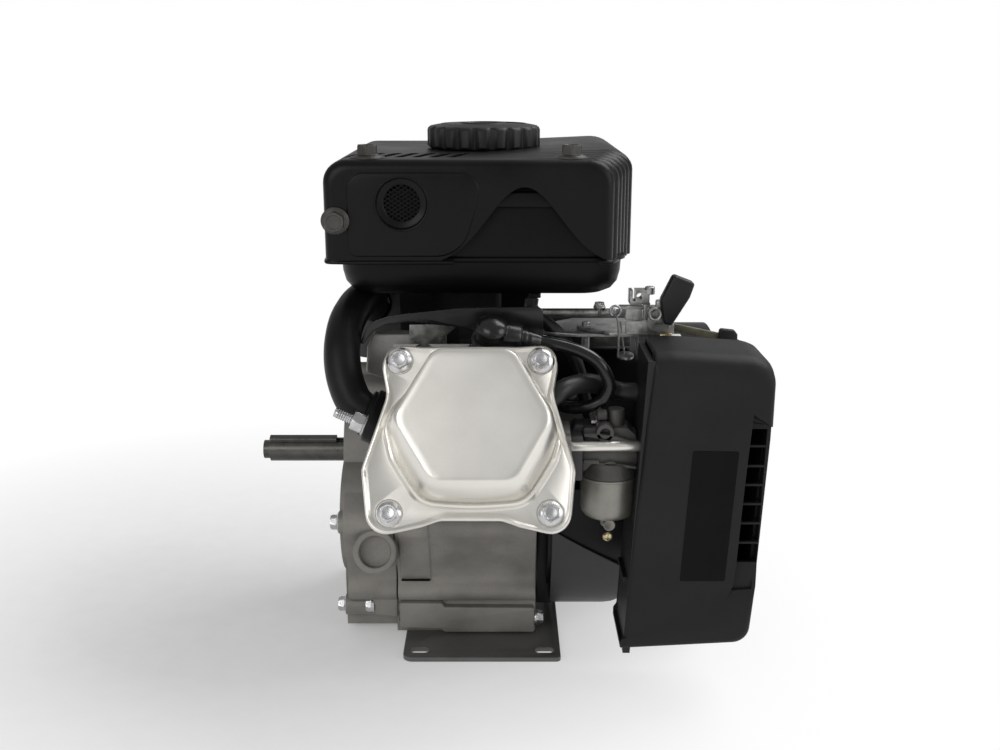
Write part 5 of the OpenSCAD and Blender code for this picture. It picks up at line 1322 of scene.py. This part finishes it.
def makePlate():
    width, depth = plateShape["halfWidth"], plateShape["halfDepth"]
    halfX, halfY = plateShape["slot"]
    slots = []
    for x in (-plateShape["boltX"], plateShape["boltX"]):
        for y in (-plateShape["boltY"], plateShape["boltY"]):
            corners = fourCorners(x - halfX, y - halfY, x + halfX, y + halfY, plateShape["slotEnd"])
            slots.append(roundCorners(corners, 6))
    edge = roundCorners([(-width, -depth, 6), (width, -depth, 3), (width, depth, 6), (-width, depth, 6)], 6)
    plate = cutPlate("mounting_plate", [edge, *slots], plateShape["thick"], 0.45)
    settle(plate, here, "plateSteel", "engine_block", "mounting_plate", smooth=35)


# the lower panel of the fan housing, which swells out under the float bowl; turns are in degrees
lowerPanel = {
    "left": 43, "right": 88, "radius": 96.4, "firstTurn": 12, "turnStep": 4.6, "rings": 15,
    "swell": 7.4, "swellTurn": 50, "swellReach": 24,
    "taper": 3.2, "taperTurn": 42, "taperReach": 7.5,
    "slant": 18.4, "slantRings": 9,
}


def makeLowerBlower():
    shape = lowerPanel
    left, right = shape["left"], shape["right"]

    def reach(turn):
        swell = max(0.0, 1 - abs(turn - shape["swellTurn"]) / shape["swellReach"])
        return shape["radius"] + shape["swell"] * swell * swell * (3 - 2 * swell)
    rings = []
    for i in range(shape["rings"]):
        turn = shape["firstTurn"] + shape["turnStep"] * i
        past = max(0.0, turn - shape["taperTurn"]) / shape["taperReach"]
        far = right - past ** 2 * shape["taper"]
        slant = shape["slant"] * max(0.0, 1 - i / shape["slantRings"])
        section = [(left, 0), (54, 0), (65, 0), (76, 0), (far - 3, 0), (far - 0.8, 0.8), (far, 2.4),
                   (far, 4), (65, 3), (left, 3)]
        loop = []
        for x, deep in section:
            x = min(x, far)
            slanted = turn + slant * (x - left) / (right - left)
            lean = math.radians(slanted)
            r = reach(slanted) - deep
            loop.append((x, engine["crankY"] - r * math.cos(lean), engine["crankZ"] - r * math.sin(lean)))
        rings.append(loop)
    panel = ringStack("lower_panel", rings)
    settle(panel, here, "greyCoat", "engine_block", smooth=50)


def makeBaffle():
    sheet = block("air_baffle", (34.3, -48, 24), (44, -44, 104), 0.3)
    settle(sheet, here, "blackCoat", "engine_block", smooth=40)


# cast rockers: a boss on the shaft, a cup over the pushrod and a pad over the valve
rocker = {"w": -19, "u": 176.8, "over": 7.6, "under": 7.4, "bore": 4.6, "x": 12.5, "halfWidth": 4,
          "lowU": 176.7}


def makeRockers():
    w, u, low = rocker["w"], rocker["u"], rocker["lowU"]
    for side, name in ((1, "intake_rocker"), (-1, "exhaust_rocker")):
        outline = [(-45, low), (-44.6, 177.8), (-43, 180.2), (-38, 181.6), (-28, 182), (-25, 182.6)]
        outline += arcPoints(w, u, rocker["over"], (130, 110, 90, 70, 50))
        outline += [(-12, 182), (-2, 181.4), (3, 180), (5, 178), (5, low), (-11.6, low)]
        outline += arcPoints(w, u, rocker["under"], (-20, -55, -90, -125, -160))
        outline += [(-26.4, low)]
        middle = side * rocker["x"]
        sides = (middle - rocker["halfWidth"], middle + rocker["halfWidth"])
        arm = ringStack(name, [[(x, *point) for point in outline] for x in sides])
        hole = turned("hole", [(rocker["bore"], -40), (rocker["bore"], 40)], 40)
        hole.data.transform(at(0, w, u, 0, 90))
        carve(arm, hole)
        softenEdges(arm, 0.4, 1, 50)
        settle(arm, onBore(0, 0, 0), "headAluminium", name, name, smooth=40)


makeCase()
makePlate()
makeLowerBlower()
makeBaffle()
makeRockers()
print("case, plate, lower panel and rockers are dressed")


# the cowl behind the valve cover: a black arched sheet, a zinc plate and the casting's corner under it
cowl = {
    "arch": [(-69.1, 202.3, 1), (-65.3, 210.4, 5), (-60.2, 215.5, 6), (-51.6, 218.4, 8), (-40.2, 219.8, 20),
             (-11.9, 222.7, 30), (36, 223.6, 4), (36, 200, 1), (-12, 200, 3), (-12, 211.8, 4),
             (-40.3, 214.6, 10), (-53.1, 213.6, 8), (-61.8, 209.2, 6), (-67, 201.6, 1)],
    "plate": [(-41, 212, 0.6), (-12.2, 212, 0.6), (-18, 206.8, 5), (-22.3, 203, 5), (-24.5, 196, 0.6),
              (-41, 196, 0.6)],
    "corner": [(-62.3, 205.6, 2.5), (-66, 198, 4), (-67.2, 182.5, 1.5), (-55.4, 178, 1), (-41, 186, 1),
               (-20, 186, 1), (-20, 205.6, 1)],
}


def makeCowl():
    arch = upright("cowl", [roundCorners(cowl["arch"], 4)], -78, 2, 0.4)
    settle(arch, here, "glossRubber", "engine_block", smooth=40)
    plate = upright("cowl_plate", [roundCorners(cowl["plate"], 4)], -72.6, 1.4, 0.2)
    settle(plate, here, "wornZinc", "engine_block", smooth=40)
    corner = upright("head_corner", [roundCorners(cowl["corner"], 5)], -60, 11, 1.2)
    settle(corner, here, "headAluminium", "engine_block", smooth=40)


makeCowl()
print("cowl is made")


def makeFloor():
    bpy.ops.object.select_all(action="DESELECT")
    bpy.ops.mesh.primitive_plane_add(size=studio["floorSize"], location=(0, 0, cadBox[0].z))
    floor = bpy.context.object
    floor.name = "floor"
    made, start = startMaterial("floorPaper")
    place = start.add("ShaderNodeTexCoord", out=3)
    fibre = start.add("ShaderNodeTexNoise", None, {"Vector": place, "Scale": 60.0, "Detail": 4.0})
    colour = fibre.ramp((0.3, 0.86), (0.7, 0.89))
    # the floor glows more with distance from a spot left of the engine: near that spot the paper stays
    # greyer, as painted shade, and far off it is a plain white backdrop
    reach = start.add("ShaderNodeVectorMath", {"operation": "DISTANCE"},
                      {0: place, 1: studio["floorShadeMiddle"]}, out=1)
    glowMask = reach.ramp(*studio["floorGlowFade"])
    paper = start.add("ShaderNodeBsdfPrincipled", None, {"Base Color": colour, "Roughness": 0.85})
    bright = start.add("ShaderNodeEmission", None, {"Color": (1, 1, 1, 1), "Strength": 1.0})
    shader = start.add("ShaderNodeMixShader", None, {"Fac": glowMask, 1: paper, 2: bright})
    start.add("ShaderNodeOutputMaterial", None, {"Surface": shader})
    floor.data.materials.append(made)


def makeWorld():
    world = bpy.data.worlds.new("studio")
    bpy.context.scene.world = world
    world.use_nodes = True
    world.node_tree.nodes.clear()
    start = Wire(world.node_tree)
    path = "ShaderNodeLightPath"
    seen = start.add(path, out=0).maths("MAXIMUM", start.add(path, out=0), start.add(path, out=6))
    strength = studio["worldLight"] + (1 - studio["worldLight"]) * seen
    lit = start.add("ShaderNodeBackground", None, {"Color": (1, 1, 1, 1), "Strength": strength})
    start.add("ShaderNodeOutputWorld", None, {"Surface": lit})


makeFloor()
makeWorld()
bpy.context.scene.view_settings.view_transform = "Standard"
